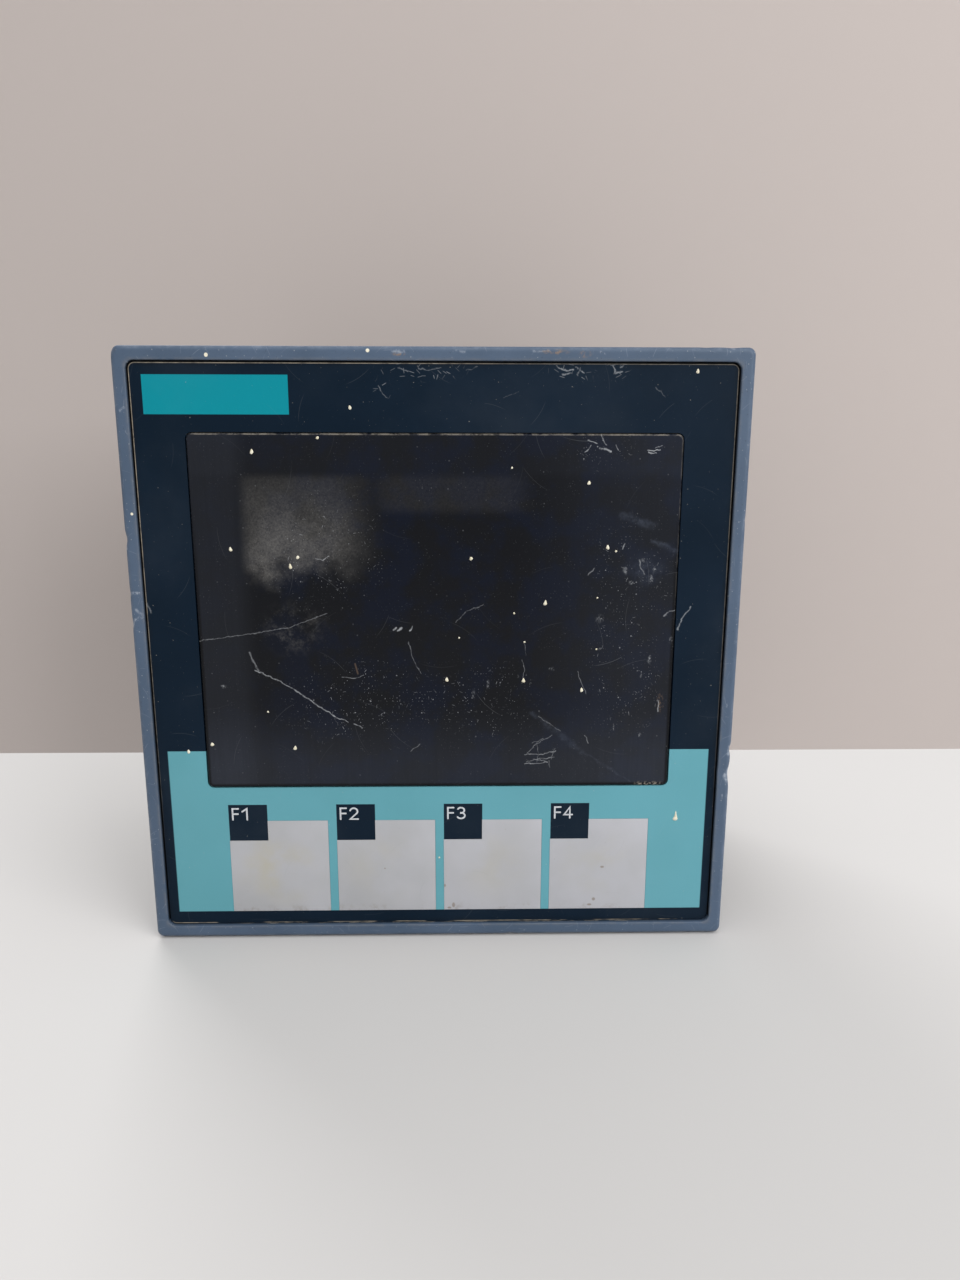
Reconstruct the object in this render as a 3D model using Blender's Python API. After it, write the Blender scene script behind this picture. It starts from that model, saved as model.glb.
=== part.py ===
"""A flush-mounting operator unit with a display window and four membrane keys, piece by piece.

Frame: metres, +Z up, the front faces -Y and +X is to the right seen from the front. The origin lies
under the middle of the unit, level with the bezel's lower edge. Depths are measured from the
bezel's front land towards the rear.
"""

import math

import bmesh
import bpy
from mathutils import Matrix, Vector

# Overall
FRONT_SIZE = 0.096           # bezel, width and height
TOTAL_DEPTH = 0.056          # front land to the outermost rear edge
FLANGE_WIDTH = 0.0023        # overlap of the bezel on the panel, all round
SEAT = 0.0003                # gap wherever one piece rests on another or fits in it

# Bezel
BEZEL_DEPTH = 0.005          # front land to the flange's rear face
BEZEL_CORNER = 0.0014        # outer corner radius
BEZEL_ROUND = 0.0008         # rounding of the front's outer edge
BEZEL_HEEL = 0.00025         # chamfer of the flange's rear edge
BEZEL_LAND = 0.0021          # frame seen from the front, with its rounding
DECK_THICKNESS = 0.002       # plate that carries the overlay
COLLAR_LENGTH = 0.004        # collar behind the flange, plugged into the housing
COLLAR_WALL = 0.0016
BARB_WIDTH = 0.008           # snap barbs on the collar
BARB_LENGTH = 0.0022
BARB_REACH = 0.001
BARB_SPAN = 0.044            # between the two barbs of one side

# Overlay and window
OVERLAY_SUNK = 0.0005        # below the front land
OVERLAY_THICKNESS = 0.0005
OVERLAY_CORNER = 0.001
WINDOW_SIDE = 0.01015        # bezel edge to window, left and right
WINDOW_TOP = 0.0125          # bezel edge to window, at the top
WINDOW_CORNER = 0.001
WINDOW_SLIT = 0.00012        # fine gap between window and overlay
WINDOW_PROUD = 0.0002        # how far the pane stands out of the overlay
WINDOW_EDGE = 0.00025        # chamfer round the pane's front
WINDOW_FLANGE = 0.002        # rim of the window pane under the overlay
WINDOW_RIM = 0.0007          # thickness of that rim
VIEW_INSET = 0.0006          # deck seen inside the window's edge

# Keys
KEY_COUNT = 4
KEY_HEIGHT = 0.0162
KEY_GAP = 0.0015             # between two neighbours
KEY_BOTTOM = 0.0046          # above the bezel's lower edge
KEY_TO_WINDOW = 0.0059       # key's upper edge to the window
ROW_SIDE = 0.0132            # bezel edge to the first and the last key
KEY_SLIT = 0.00006           # fine gap between a key field and the overlay
KEY_TRAVEL = 0.0004
LABEL_SIZE = 0.0064          # square label field over the key's corner
LABEL_RISE = 0.0029          # how far the label stands above the key
PLUNGER_RADIUS = 0.004
PLUNGER_FLANGE = 0.0013      # flange beyond the plunger's radius
PLUNGER_PLATE = 0.0008       # thickness of that flange
SWITCH_SIZE = 0.006
STEM_RADIUS = 0.0017
STEM_OUT = 0.0012            # stem outside the switch body
STEM_IN = 0.0008             # stem inside the switch body

# Display module and boards
MODULE_SIDE = 0.0018         # collar to the module's frame
MODULE_BORDER = 0.0024       # module beyond the window, above and below
MODULE_SHEET = 0.0005
MODULE_LIP = 0.0022          # front lip of the frame round the glass
GLASS_THICKNESS = 0.0018
TAB_WIDTH = 0.003            # bent tabs through the display board
BOARD_THICKNESS = 0.0016
BOARD_PLAY = 0.0006          # board edge to housing

# Rear housing
HOUSING_WALL = 0.0018
HOUSING_BACK = 0.002         # rear wall
HOUSING_CORNER = 0.0025
HOUSING_CHAMFER = 0.0008
FIN_RISE = 0.0015            # terminal fins beyond the rear wall
RIB_HEIGHT = 0.0015          # ribs inside that carry the display board
RIB_WIDTH = 0.002
RIB_SPAN = 0.060
POST_RADIUS = 0.0025         # posts inside that carry the terminal board
POST_SPAN_X = 0.076
POST_SPAN_Z = 0.040
VENT_COUNT = 9
VENT_WIDTH = 0.002
VENT_PITCH = 0.006
VENT_FRONT = 0.016
VENT_LENGTH = 0.014
TRACK_FRONT = 0.012          # tracks for the panel clamps, left and right
TRACK_LENGTH = 0.030
TRACK_WIDTH = 0.018
TRACK_DEPTH = 0.0008
TOOTH_COUNT = 9
TOOTH_RISE = 0.0006
TOOTH_WIDTH = 0.009

# Terminals
POLE_PITCH = 0.010
BLOCK_END = 0.0012           # end wall beyond the first and the last pole
BLOCK_HEIGHT = 0.015
BLOCK_DEPTH = 0.018
BLOCK_FOOT = 0.0026          # foot of the block inside the housing
BLOCK_INSET = 0.0004         # block below the housing's outer face
BLOCK_CHAMFER = 0.0025
BLOCK_SPACING = 0.004        # between the voltage and the supply block
FIN_THICKNESS = 0.0012
SCREW_HEIGHT = 0.0062        # screw axis above the block's inner face
SCREW_HEAD_RADIUS = 0.0027
SCREW_HEAD = 0.002
SCREW_SHANK_RADIUS = 0.0016
SCREW_SHANK = 0.0032
SCREW_SLOT = 0.0008
WELL_DEPTH = 0.004           # screw well below the block's rear face
WELL_PLAY = 0.0004
WIRE_HOLE = 0.0036           # square entry for one wire
WIRE_FUNNEL = 0.0007         # widening at the mouth, width and depth

# Connectors and cover at the rear
ROW_RISE = 0.012             # jack and signal connector above the middle
JACK_SIDE = 0.0237           # housing's left side to the jack's middle
JACK_WIDTH = 0.016
JACK_HEIGHT = 0.0134
JACK_SOCKET_WIDTH = 0.0118
JACK_SOCKET_HEIGHT = 0.0068
JACK_SOCKET_DEPTH = 0.0125
JACK_NOTCH_WIDTH = 0.006
JACK_NOTCH = 0.0018
SIGNAL_SIDE = 0.0297         # housing's right side to the connector's middle
SIGNAL_POLES = 5
SIGNAL_PITCH = 0.005
SIGNAL_HEIGHT = 0.0102
SIGNAL_WALL = 0.0009
SIGNAL_FLOOR = 0.002
SIGNAL_HOLE = 0.0028
COVER_DROP = 0.012           # middle of the slot cover below the middle
COVER_WIDTH = 0.044
COVER_HEIGHT = 0.020
COVER_CORNER = 0.0015
COVER_THICKNESS = 0.001
COVER_RIM = 0.004            # ledge round the slot under the cover
COVER_NICK = 0.003           # radius of the thumb nick

# Components between the boards
RING_HEADROOM = 0.0056       # current transformer to the display board
RING_BORE = 0.0032           # its bore, as a radius
RING_PLAY = 0.0006           # ring to bar
BAR_SIZE = 0.002
COIL_SIDE = 0.0239           # housing's left wall to the supply transformer's middle
COIL_WIDTH = 0.017
COIL_HEIGHT = 0.015
COIL_HEADROOM = 0.007
COIL_YOKE = 0.004            # iron showing above and below the winding
COIL_SWELL = 0.0012          # winding beyond the iron
CAN_RADIUS = 0.0062
CAN_HEADROOM = 0.005
CAN_COUNT = 2
CAN_SIDE = 0.0169            # housing's right wall to the last capacitor's middle
CAN_SPACING = 0.015
LINK_WIDTH = 0.024
LINK_HEIGHT = 0.005
LINK_DROP = 0.026            # stacking connector below the middle

# Fineness of round shapes
CORNER_STEPS = 5
EDGE_STEPS = 4
ROUND_STEPS = 24
SMALL_STEPS = 16

# Places that follow
MIDDLE = FRONT_SIZE / 2
HALF_HOUSING = FRONT_SIZE / 2 - FLANGE_WIDTH
HALF_INSIDE = HALF_HOUSING - HOUSING_WALL
HALF_COLLAR = HALF_INSIDE - SEAT
HALF_RIM = FRONT_SIZE / 2 - BEZEL_LAND

OVERLAY_BACK = OVERLAY_SUNK + OVERLAY_THICKNESS
DECK_FRONT = OVERLAY_BACK + SEAT
DECK_BACK = DECK_FRONT + DECK_THICKNESS
COLLAR_BACK = BEZEL_DEPTH + COLLAR_LENGTH
DISPLAY_BOARD_FRONT = COLLAR_BACK + SEAT
DISPLAY_BOARD_BACK = DISPLAY_BOARD_FRONT + BOARD_THICKNESS
REAR_FACE = TOTAL_DEPTH - FIN_RISE
REAR_INSIDE = REAR_FACE - HOUSING_BACK
BLOCK_FRONT = TOTAL_DEPTH - BLOCK_DEPTH
TERMINAL_BOARD_BACK = BLOCK_FRONT - SEAT
TERMINAL_BOARD_FRONT = TERMINAL_BOARD_BACK - BOARD_THICKNESS
BAY_FRONT = DISPLAY_BOARD_BACK + SEAT
BAY_BACK = TERMINAL_BOARD_FRONT - SEAT

WINDOW_WIDTH = FRONT_SIZE - 2 * WINDOW_SIDE
WINDOW_LOW = KEY_BOTTOM + KEY_HEIGHT + KEY_TO_WINDOW
WINDOW_HEIGHT = FRONT_SIZE - WINDOW_TOP - WINDOW_LOW
WINDOW_MIDDLE = WINDOW_LOW + WINDOW_HEIGHT / 2
ROW_WIDTH = FRONT_SIZE - 2 * ROW_SIDE
KEY_WIDTH = (ROW_WIDTH - (KEY_COUNT - 1) * KEY_GAP) / KEY_COUNT
KEY_MIDDLE = KEY_BOTTOM + KEY_HEIGHT / 2

JACK_X = JACK_SIDE - HALF_HOUSING
SIGNAL_X = HALF_HOUSING - SIGNAL_SIDE
COIL_X = COIL_SIDE - HALF_INSIDE


def at(depth):
    """The Y of a depth behind the front land."""
    return depth - TOTAL_DEPTH / 2


def key_x(index):
    """The middle of a key, counted from the left."""
    return (index - (KEY_COUNT - 1) / 2) * (KEY_WIDTH + KEY_GAP)


# Outlines

def rectangle(width, height):
    """A rectangle about the origin."""
    return [(-width / 2, -height / 2), (width / 2, -height / 2), (width / 2, height / 2), (-width / 2, height / 2)]


def rounded(width, height, radius):
    """A rectangle about the origin with rounded corners."""
    outline = []
    for corner, (side_x, side_z) in enumerate(((1, 1), (-1, 1), (-1, -1), (1, -1))):
        for step in range(CORNER_STEPS + 1):
            angle = math.pi / 2 * (corner + step / CORNER_STEPS)
            outline.append((
                side_x * (width / 2 - radius) + radius * math.cos(angle),
                side_z * (height / 2 - radius) + radius * math.sin(angle),
            ))
    return outline


def circle(radius, steps):
    """A regular outline about the origin."""
    turns = [2 * math.pi * step / steps for step in range(steps)]
    return [(radius * math.cos(turn), radius * math.sin(turn)) for turn in turns]


def key_outline(grow):
    """A key field about the key's middle, less the label's corner, grown all round by a margin."""
    left = -KEY_WIDTH / 2 - grow
    right = KEY_WIDTH / 2 + grow
    low = -KEY_HEIGHT / 2 - grow
    high = KEY_HEIGHT / 2 + grow
    inner = -KEY_WIDTH / 2 + LABEL_SIZE - grow
    step = KEY_HEIGHT / 2 - (LABEL_SIZE - LABEL_RISE) + grow
    return [(left, low), (right, low), (right, high), (inner, high), (inner, step), (left, step)]


# Shapes

def prism(outline, low, high, axis="Y"):
    """An outline drawn out along an axis. It is given in the two other axes, in the order X, Y, Z."""
    order = {"X": (2, 0, 1), "Y": (0, 2, 1), "Z": (0, 1, 2)}[axis]
    shape = bmesh.new()
    corners = []
    for first, second in outline:
        values = (first, second, low)
        corners.append(shape.verts.new([values[index] for index in order]))
    face = shape.faces.new(corners)
    drawn = bmesh.ops.extrude_face_region(shape, geom=[face])["geom"]
    way = Vector([float(axis == name) for name in "XYZ"]) * (high - low)
    bmesh.ops.translate(shape, verts=[item for item in drawn if isinstance(item, bmesh.types.BMVert)], vec=way)
    bmesh.ops.recalc_face_normals(shape, faces=shape.faces)
    return shape


def loft(sections, ring=False):
    """A skin over (depth, outline) sections, closed by end faces or, as a ring, back to the first section."""
    shape = bmesh.new()
    rows = []
    for depth, outline in sections:
        rows.append([shape.verts.new((x, depth, z)) for x, z in outline])
    following = rows[1:] + rows[:1] if ring else rows[1:]
    for near, far in zip(rows, following):
        for index in range(len(near)):
            after = (index + 1) % len(near)
            shape.faces.new((near[index], near[after], far[after], far[index]))
    if not ring:
        shape.faces.new(rows[0])
        shape.faces.new(rows[-1])
    bmesh.ops.recalc_face_normals(shape, faces=shape.faces)
    return shape


def turned(profile, steps, axis="Y", ring=False):
    """A (radius, along) profile spun about an axis, from axis to axis or, as a ring, clear of it."""
    shape = bmesh.new()
    points = [shape.verts.new((radius, along, 0)) for radius, along in profile]
    for near, far in zip(points, points[1:]):
        shape.edges.new((near, far))
    if ring:
        shape.edges.new((points[-1], points[0]))
    bmesh.ops.spin(
        shape, geom=shape.verts[:] + shape.edges[:], cent=(0, 0, 0), axis=(0, 1, 0),
        angle=2 * math.pi, steps=steps, use_merge=True,
    )
    bmesh.ops.remove_doubles(shape, verts=shape.verts, dist=0.000001)
    if axis == "X":
        bmesh.ops.rotate(shape, verts=shape.verts, cent=(0, 0, 0), matrix=Matrix.Rotation(-math.pi / 2, 3, "Z"))
    bmesh.ops.recalc_face_normals(shape, faces=shape.faces)
    return shape


def block(width, depth, height):
    """A box about X = Z = 0, from Y = 0 to its depth."""
    return prism(rectangle(width, height), 0, depth)


def moved(shape, x, y, z):
    """The shape shifted."""
    bmesh.ops.translate(shape, verts=shape.verts, vec=(x, y, z))
    return shape


def joined(shapes):
    """Several shapes that don't touch, in one mesh."""
    whole = bmesh.new()
    for shape in shapes:
        mesh = bpy.data.meshes.new("joined")
        shape.to_mesh(mesh)
        shape.free()
        whole.from_mesh(mesh)
        bpy.data.meshes.remove(mesh)
    return whole


# Objects

def colour_of(red, green, blue):
    """Display values from 0 to 255 as a linear colour."""
    linear = [((value / 255 + 0.055) / 1.055) ** 2.4 for value in (red, green, blue)]
    return (*linear, 1.0)


def finish(name, colour, roughness, metallic=0.0):
    """One plain material."""
    material = bpy.data.materials.new(name)
    material.use_nodes = True
    shader = material.node_tree.nodes["Principled BSDF"]
    shader.inputs["Base Color"].default_value = colour
    shader.inputs["Roughness"].default_value = roughness
    shader.inputs["Metallic"].default_value = metallic
    material.diffuse_color = colour
    return material


def empty(name, location, parent=None):
    """A named point that pieces hang on."""
    point = bpy.data.objects.new(name, None)
    point.location = location
    point.parent = parent
    point.empty_display_size = FRONT_SIZE / 10
    bpy.context.collection.objects.link(point)
    return point


def add(name, shape, place, material=None, group=None, turn=0.0):
    """An object from a shape at a place in the unit, hung on a group and turned about Y."""
    mesh = bpy.data.meshes.new(name)
    shape.to_mesh(mesh)
    shape.free()
    piece = bpy.data.objects.new(name, mesh)
    bpy.context.collection.objects.link(piece)
    piece.parent = group
    piece.location = Vector(place) - (group.location if group else Vector())
    piece.rotation_euler = (0, turn, 0)
    if material:
        mesh.materials.append(material)
    mesh.shade_smooth()
    mesh.set_sharp_from_angle(angle=math.radians(32))
    return piece


def carve(piece, name, shape, operation="DIFFERENCE"):
    """Cut a shape out of a piece, or weld it on. The shape is given in the piece's own axes."""
    tool = add(f"{piece.name}_{name}", shape, (0, 0, 0))
    tool.parent = piece
    tool.hide_render = True
    tool.display_type = "WIRE"
    step = piece.modifiers.new(name, "BOOLEAN")
    step.operation = operation
    step.solver = "EXACT"
    step.object = tool


# Front

def front_bezel(unit, material):
    """Frame, overlay deck and snap collar in one moulding."""
    half = FRONT_SIZE / 2
    sections = []
    for step in range(EDGE_STEPS + 1):
        angle = math.pi / 2 * step / EDGE_STEPS
        inset = BEZEL_ROUND * (1 - math.sin(angle))
        size = 2 * (half - inset)
        sections.append((BEZEL_ROUND * (1 - math.cos(angle)), rounded(size, size, BEZEL_CORNER - inset)))
    collar = rounded(2 * HALF_COLLAR, 2 * HALF_COLLAR, HOUSING_CORNER)
    heel = FRONT_SIZE - 2 * BEZEL_HEEL
    sections.append((BEZEL_DEPTH - BEZEL_HEEL, rounded(FRONT_SIZE, FRONT_SIZE, BEZEL_CORNER)))
    sections.append((BEZEL_DEPTH, rounded(heel, heel, BEZEL_CORNER - BEZEL_HEEL)))
    sections.append((BEZEL_DEPTH, collar))
    sections.append((COLLAR_BACK, collar))
    bezel = add("front_bezel", loft(sections), (0, at(0), MIDDLE), material, unit)

    past = BEZEL_DEPTH
    sunk = prism(rounded(2 * HALF_RIM, 2 * HALF_RIM, OVERLAY_CORNER + SEAT), -past, DECK_FRONT)
    carve(bezel, "overlay_recess", sunk)
    inside = HALF_COLLAR - COLLAR_WALL
    carve(bezel, "rear_hollow", prism(rounded(2 * inside, 2 * inside, HOUSING_CORNER), DECK_BACK, COLLAR_BACK + past))

    rise = WINDOW_MIDDLE - MIDDLE
    grow = 2 * (WINDOW_FLANGE + SEAT)
    ledge = rounded(WINDOW_WIDTH + grow, WINDOW_HEIGHT + grow, WINDOW_CORNER + WINDOW_FLANGE)
    ledge_depth = DECK_FRONT + WINDOW_RIM + SEAT
    carve(bezel, "window_ledge", moved(prism(ledge, 0, ledge_depth), 0, 0, rise))
    view = rounded(WINDOW_WIDTH - 2 * VIEW_INSET, WINDOW_HEIGHT - 2 * VIEW_INSET, WINDOW_CORNER)
    carve(bezel, "window_view", moved(prism(view, 0, COLLAR_BACK), 0, 0, rise))

    floor = OVERLAY_BACK + KEY_TRAVEL + SEAT
    drop = KEY_MIDDLE - MIDDLE
    keys = [key_x(index) for index in range(KEY_COUNT)]
    pockets = [moved(prism(key_outline(SEAT), 0, floor), x, 0, drop) for x in keys]
    carve(bezel, "key_pockets", joined(pockets))
    bore = circle(PLUNGER_RADIUS + SEAT, ROUND_STEPS)
    carve(bezel, "plunger_bores", joined([moved(prism(bore, 0, COLLAR_BACK), x, 0, drop) for x in keys]))

    start = COLLAR_BACK - BARB_LENGTH - COLLAR_WALL / 4
    wedge = [
        (start, HALF_COLLAR - COLLAR_WALL / 2), (start + BARB_LENGTH, HALF_COLLAR - COLLAR_WALL / 2),
        (start + BARB_LENGTH, HALF_COLLAR + BARB_REACH / 5), (start, HALF_COLLAR + BARB_REACH),
    ]
    barbs = []
    for side in (-1, 1):
        outline = [(y, side * z) for y, z in wedge]
        for x in (-BARB_SPAN / 2, BARB_SPAN / 2):
            barbs.append(prism(outline, x - BARB_WIDTH / 2, x + BARB_WIDTH / 2, "X"))
    carve(bezel, "snap_barbs", joined(barbs), "UNION")


def front_overlay(unit, material):
    """The printed foil with its window and key openings."""
    size = 2 * (HALF_RIM - SEAT)
    sheet = prism(rounded(size, size, OVERLAY_CORNER), 0, OVERLAY_THICKNESS)
    overlay = add("front_overlay", sheet, (0, at(OVERLAY_SUNK), MIDDLE), material, unit)
    past = OVERLAY_THICKNESS
    window = prism(rounded(WINDOW_WIDTH, WINDOW_HEIGHT, WINDOW_CORNER), -past, OVERLAY_THICKNESS + past)
    carve(overlay, "window", moved(window, 0, 0, WINDOW_MIDDLE - MIDDLE))
    fields = []
    for index in range(KEY_COUNT):
        field = prism(key_outline(KEY_SLIT), -past, OVERLAY_THICKNESS + past)
        fields.append(moved(field, key_x(index), 0, KEY_MIDDLE - MIDDLE))
    carve(overlay, "key_fields", joined(fields))


def display_window(unit, material):
    """Stepped pane: its raised field fills the overlay's opening and its rim lies under the overlay."""
    field = rounded(WINDOW_WIDTH - 2 * WINDOW_SLIT, WINDOW_HEIGHT - 2 * WINDOW_SLIT, WINDOW_CORNER - WINDOW_SLIT)
    inset = WINDOW_SLIT + WINDOW_EDGE
    front = rounded(WINDOW_WIDTH - 2 * inset, WINDOW_HEIGHT - 2 * inset, WINDOW_CORNER - inset)
    grow = 2 * WINDOW_FLANGE
    rim = rounded(WINDOW_WIDTH + grow, WINDOW_HEIGHT + grow, WINDOW_CORNER + WINDOW_FLANGE)
    depth = OVERLAY_SUNK - WINDOW_PROUD
    step = DECK_FRONT - depth
    pane = loft([(0, front), (WINDOW_EDGE, field), (step, field), (step, rim), (step + WINDOW_RIM, rim)])
    add("display_window", pane, (0, at(depth), WINDOW_MIDDLE), material, unit)


def panel_gasket(unit, material):
    """Flat ring between the flange and the panel."""
    inner = HALF_HOUSING + SEAT
    outer = FRONT_SIZE / 2 - SEAT
    thickness = (outer - inner) / 2
    wide = rounded(2 * outer, 2 * outer, BEZEL_CORNER)
    narrow = rounded(2 * inner, 2 * inner, HOUSING_CORNER)
    ring = loft([(0, narrow), (0, wide), (thickness, wide), (thickness, narrow)], ring=True)
    add("panel_gasket", ring, (0, at(BEZEL_DEPTH + SEAT), MIDDLE), material, unit)


# Keys

def key(index, unit, pad_material, plunger_material, stem_material):
    """One key that travels: field of the foil, plunger behind it and the switch's stem."""
    number = index + 1
    place = Vector((key_x(index), at(OVERLAY_SUNK), KEY_MIDDLE))
    group = empty(f"key_{number}", place, unit)
    add(f"key_pad_{number}", prism(key_outline(0), 0, OVERLAY_THICKNESS), place, pad_material, group)

    front = OVERLAY_BACK + SEAT
    neck = DECK_BACK + SEAT
    back = neck + PLUNGER_PLATE
    wide = PLUNGER_RADIUS + PLUNGER_FLANGE
    plunger = turned([
        (0, front), (PLUNGER_RADIUS, front), (PLUNGER_RADIUS, neck), (wide, neck), (wide, back), (0, back),
    ], ROUND_STEPS)
    add(f"key_plunger_{number}", moved(plunger, 0, -OVERLAY_SUNK, 0), place, plunger_material, group)

    tip = back + SEAT
    end = tip + STEM_OUT + STEM_IN
    edge = STEM_RADIUS / 6
    stem = turned([(0, tip), (STEM_RADIUS - edge, tip), (STEM_RADIUS, tip + edge), (STEM_RADIUS, end), (0, end)], SMALL_STEPS)
    add(f"switch_stem_{number}", moved(stem, 0, -OVERLAY_SUNK, 0), place, stem_material, group)


def switch_body(index, unit, material):
    """Body of one tactile switch on the display board, with the bore its stem slides in."""
    front = DECK_BACK + SEAT + PLUNGER_PLATE + SEAT + STEM_OUT
    depth = DISPLAY_BOARD_FRONT - SEAT - front
    name = f"switch_body_{index + 1}"
    body = prism(rounded(SWITCH_SIZE, SWITCH_SIZE, SWITCH_SIZE / 8), 0, depth)
    body = add(name, body, (key_x(index), at(front), KEY_MIDDLE), material, unit)
    bore = prism(circle(STEM_RADIUS + SEAT, SMALL_STEPS), -STEM_OUT, STEM_IN + KEY_TRAVEL + SEAT)
    carve(body, "stem_bore", bore)


# Display module and boards

def module_size():
    """Width and height of the display module's frame."""
    inside = HALF_COLLAR - COLLAR_WALL
    return 2 * (inside - MODULE_SIDE), WINDOW_HEIGHT + 2 * MODULE_BORDER


def tab_places():
    """Middles of the frame's bent tabs about the window's middle."""
    width, height = module_size()
    rise = height / 2 - MODULE_SHEET / 2
    return [(side * width / 3, end * rise) for side in (-1, 1) for end in (-1, 1)]


def module_frame(unit, material):
    """Sheet-metal frame round glass and backlight, with tabs through the board."""
    width, height = module_size()
    front = DECK_BACK + SEAT
    back = DISPLAY_BOARD_FRONT - SEAT
    frame = add("module_frame", block(width, back - front, height), (0, at(front), WINDOW_MIDDLE), material, unit)
    inner = rectangle(width - 2 * MODULE_SHEET, height - 2 * MODULE_SHEET)
    carve(frame, "hollow", prism(inner, MODULE_SHEET, back))
    lip = rectangle(width - 2 * MODULE_LIP, height - 2 * MODULE_LIP)
    carve(frame, "view", prism(lip, -front, back))
    length = DISPLAY_BOARD_BACK + BOARD_THICKNESS - front
    tabs = []
    for x, z in tab_places():
        tabs.append(moved(block(TAB_WIDTH, length - MODULE_SHEET, MODULE_SHEET), x, MODULE_SHEET, z))
    carve(frame, "tabs", joined(tabs), "UNION")


def module_layers(unit, glass_material, light_material):
    """Glass and backlight inside the module's frame."""
    width, height = module_size()
    play = 2 * (MODULE_SHEET + SEAT)
    glass_front = DECK_BACK + SEAT + MODULE_SHEET + SEAT
    light_front = glass_front + GLASS_THICKNESS + SEAT
    light_depth = DISPLAY_BOARD_FRONT - SEAT - light_front
    glass = block(width - play, GLASS_THICKNESS, height - play)
    add("module_glass", glass, (0, at(glass_front), WINDOW_MIDDLE), glass_material, unit)
    light = block(width - play, light_depth, height - play)
    add("module_backlight", light, (0, at(light_front), WINDOW_MIDDLE), light_material, unit)


def display_board(unit, material):
    """Board behind the display module, with slots for the module's tabs."""
    size = 2 * (HALF_INSIDE - BOARD_PLAY)
    sheet = prism(rounded(size, size, HOUSING_CORNER), 0, BOARD_THICKNESS)
    board = add("display_board", sheet, (0, at(DISPLAY_BOARD_FRONT), MIDDLE), material, unit)
    slots = []
    for x, z in tab_places():
        slot = block(TAB_WIDTH + 2 * SEAT, 3 * BOARD_THICKNESS, MODULE_SHEET + 2 * SEAT)
        slots.append(moved(slot, x, -BOARD_THICKNESS, WINDOW_MIDDLE - MIDDLE + z))
    carve(board, "tab_slots", joined(slots))


def ring_radius():
    """Outer radius of a current transformer, which stands between the boards."""
    return (BAY_BACK - BAY_FRONT - RING_HEADROOM) / 2


def ring_place(index):
    """Middle of a current transformer: under the top wall, between two poles of the upper block."""
    x = (index - 1) * 2 * POLE_PITCH
    return x, at(BAY_BACK - ring_radius()), MIDDLE + HALF_INSIDE - SEAT - ring_radius()


def terminal_board(unit, material):
    """Board in front of the terminals, with slots for the current bars."""
    size = 2 * (HALF_INSIDE - RIB_HEIGHT - SEAT)
    sheet = prism(rounded(size, size, HOUSING_CORNER), 0, BOARD_THICKNESS)
    board = add("terminal_board", sheet, (0, at(TERMINAL_BOARD_FRONT), MIDDLE), material, unit)
    slots = []
    for index in range(3):
        x, _, z = ring_place(index)
        for side in (-1, 1):
            slot = block(BAR_SIZE + 2 * SEAT, 3 * BOARD_THICKNESS, BAR_SIZE + 2 * SEAT)
            slots.append(moved(slot, x + side * POLE_PITCH / 2, -BOARD_THICKNESS, z - MIDDLE))
    carve(board, "bar_slots", joined(slots))


# Components between the boards

def current_transformer(index, unit, ring_material, bar_material):
    """Wound ring on the board and the copper bar that runs through it from pole to pole."""
    number = index + 1
    place = ring_place(index)
    radius = ring_radius()
    half = POLE_PITCH / 2 - BAR_SIZE / 2 - RING_PLAY
    edge = (radius - RING_BORE) / 6
    ring = turned([
        (RING_BORE, -half + edge), (RING_BORE + edge, -half), (radius - edge, -half), (radius, -half + edge),
        (radius, half - edge), (radius - edge, half), (RING_BORE + edge, half), (RING_BORE, half - edge),
    ], ROUND_STEPS, "X", ring=True)
    add(f"current_transformer_{number}", ring, place, ring_material, unit)

    wide = POLE_PITCH / 2 + BAR_SIZE / 2
    narrow = POLE_PITCH / 2 - BAR_SIZE / 2
    near = -BAR_SIZE / 2
    far = at(TERMINAL_BOARD_BACK) - place[1]
    course = [
        (-wide, far), (-wide, near), (wide, near), (wide, far),
        (narrow, far), (narrow, -near), (-narrow, -near), (-narrow, far),
    ]
    add(f"current_bar_{number}", prism(course, near, -near, "Z"), place, bar_material, unit)


def supply_transformer(unit, material):
    """Iron core with the swollen winding between its yokes."""
    depth = BAY_BACK - BAY_FRONT - COIL_HEADROOM
    core = block(COIL_WIDTH, depth, COIL_HEIGHT)
    coil = add("supply_transformer", core, (COIL_X, at(BAY_BACK - depth), MIDDLE), material, unit)
    swell = COIL_WIDTH + 2 * COIL_SWELL
    winding = rounded(swell, COIL_HEIGHT + 2 * COIL_SWELL, COIL_YOKE)
    carve(coil, "winding", prism(winding, COIL_YOKE, depth - COIL_YOKE), "UNION")


def capacitor(index, unit, material):
    """Standing can with its rolled bead."""
    depth = BAY_BACK - BAY_FRONT - CAN_HEADROOM
    edge = CAN_RADIUS / 8
    bead = depth - 4 * edge
    can = turned([
        (0, 0), (CAN_RADIUS - edge, 0), (CAN_RADIUS, edge), (CAN_RADIUS, bead - edge), (CAN_RADIUS - edge, bead),
        (CAN_RADIUS, bead + edge), (CAN_RADIUS, depth - edge), (CAN_RADIUS - edge, depth), (0, depth),
    ], SMALL_STEPS)
    x = HALF_INSIDE - CAN_SIDE - (CAN_COUNT - 1 - index) * CAN_SPACING
    add(f"capacitor_{index + 1}", can, (x, at(BAY_BACK - depth), MIDDLE), material, unit)


def board_link(unit, material):
    """Stacking connector from board to board."""
    link = block(LINK_WIDTH, BAY_BACK - BAY_FRONT, LINK_HEIGHT)
    add("board_link", link, (0, at(BAY_FRONT), MIDDLE - LINK_DROP), material, unit)


# Rear housing

def block_width(poles):
    """Width of a terminal block."""
    return poles * POLE_PITCH + 2 * BLOCK_END


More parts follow.
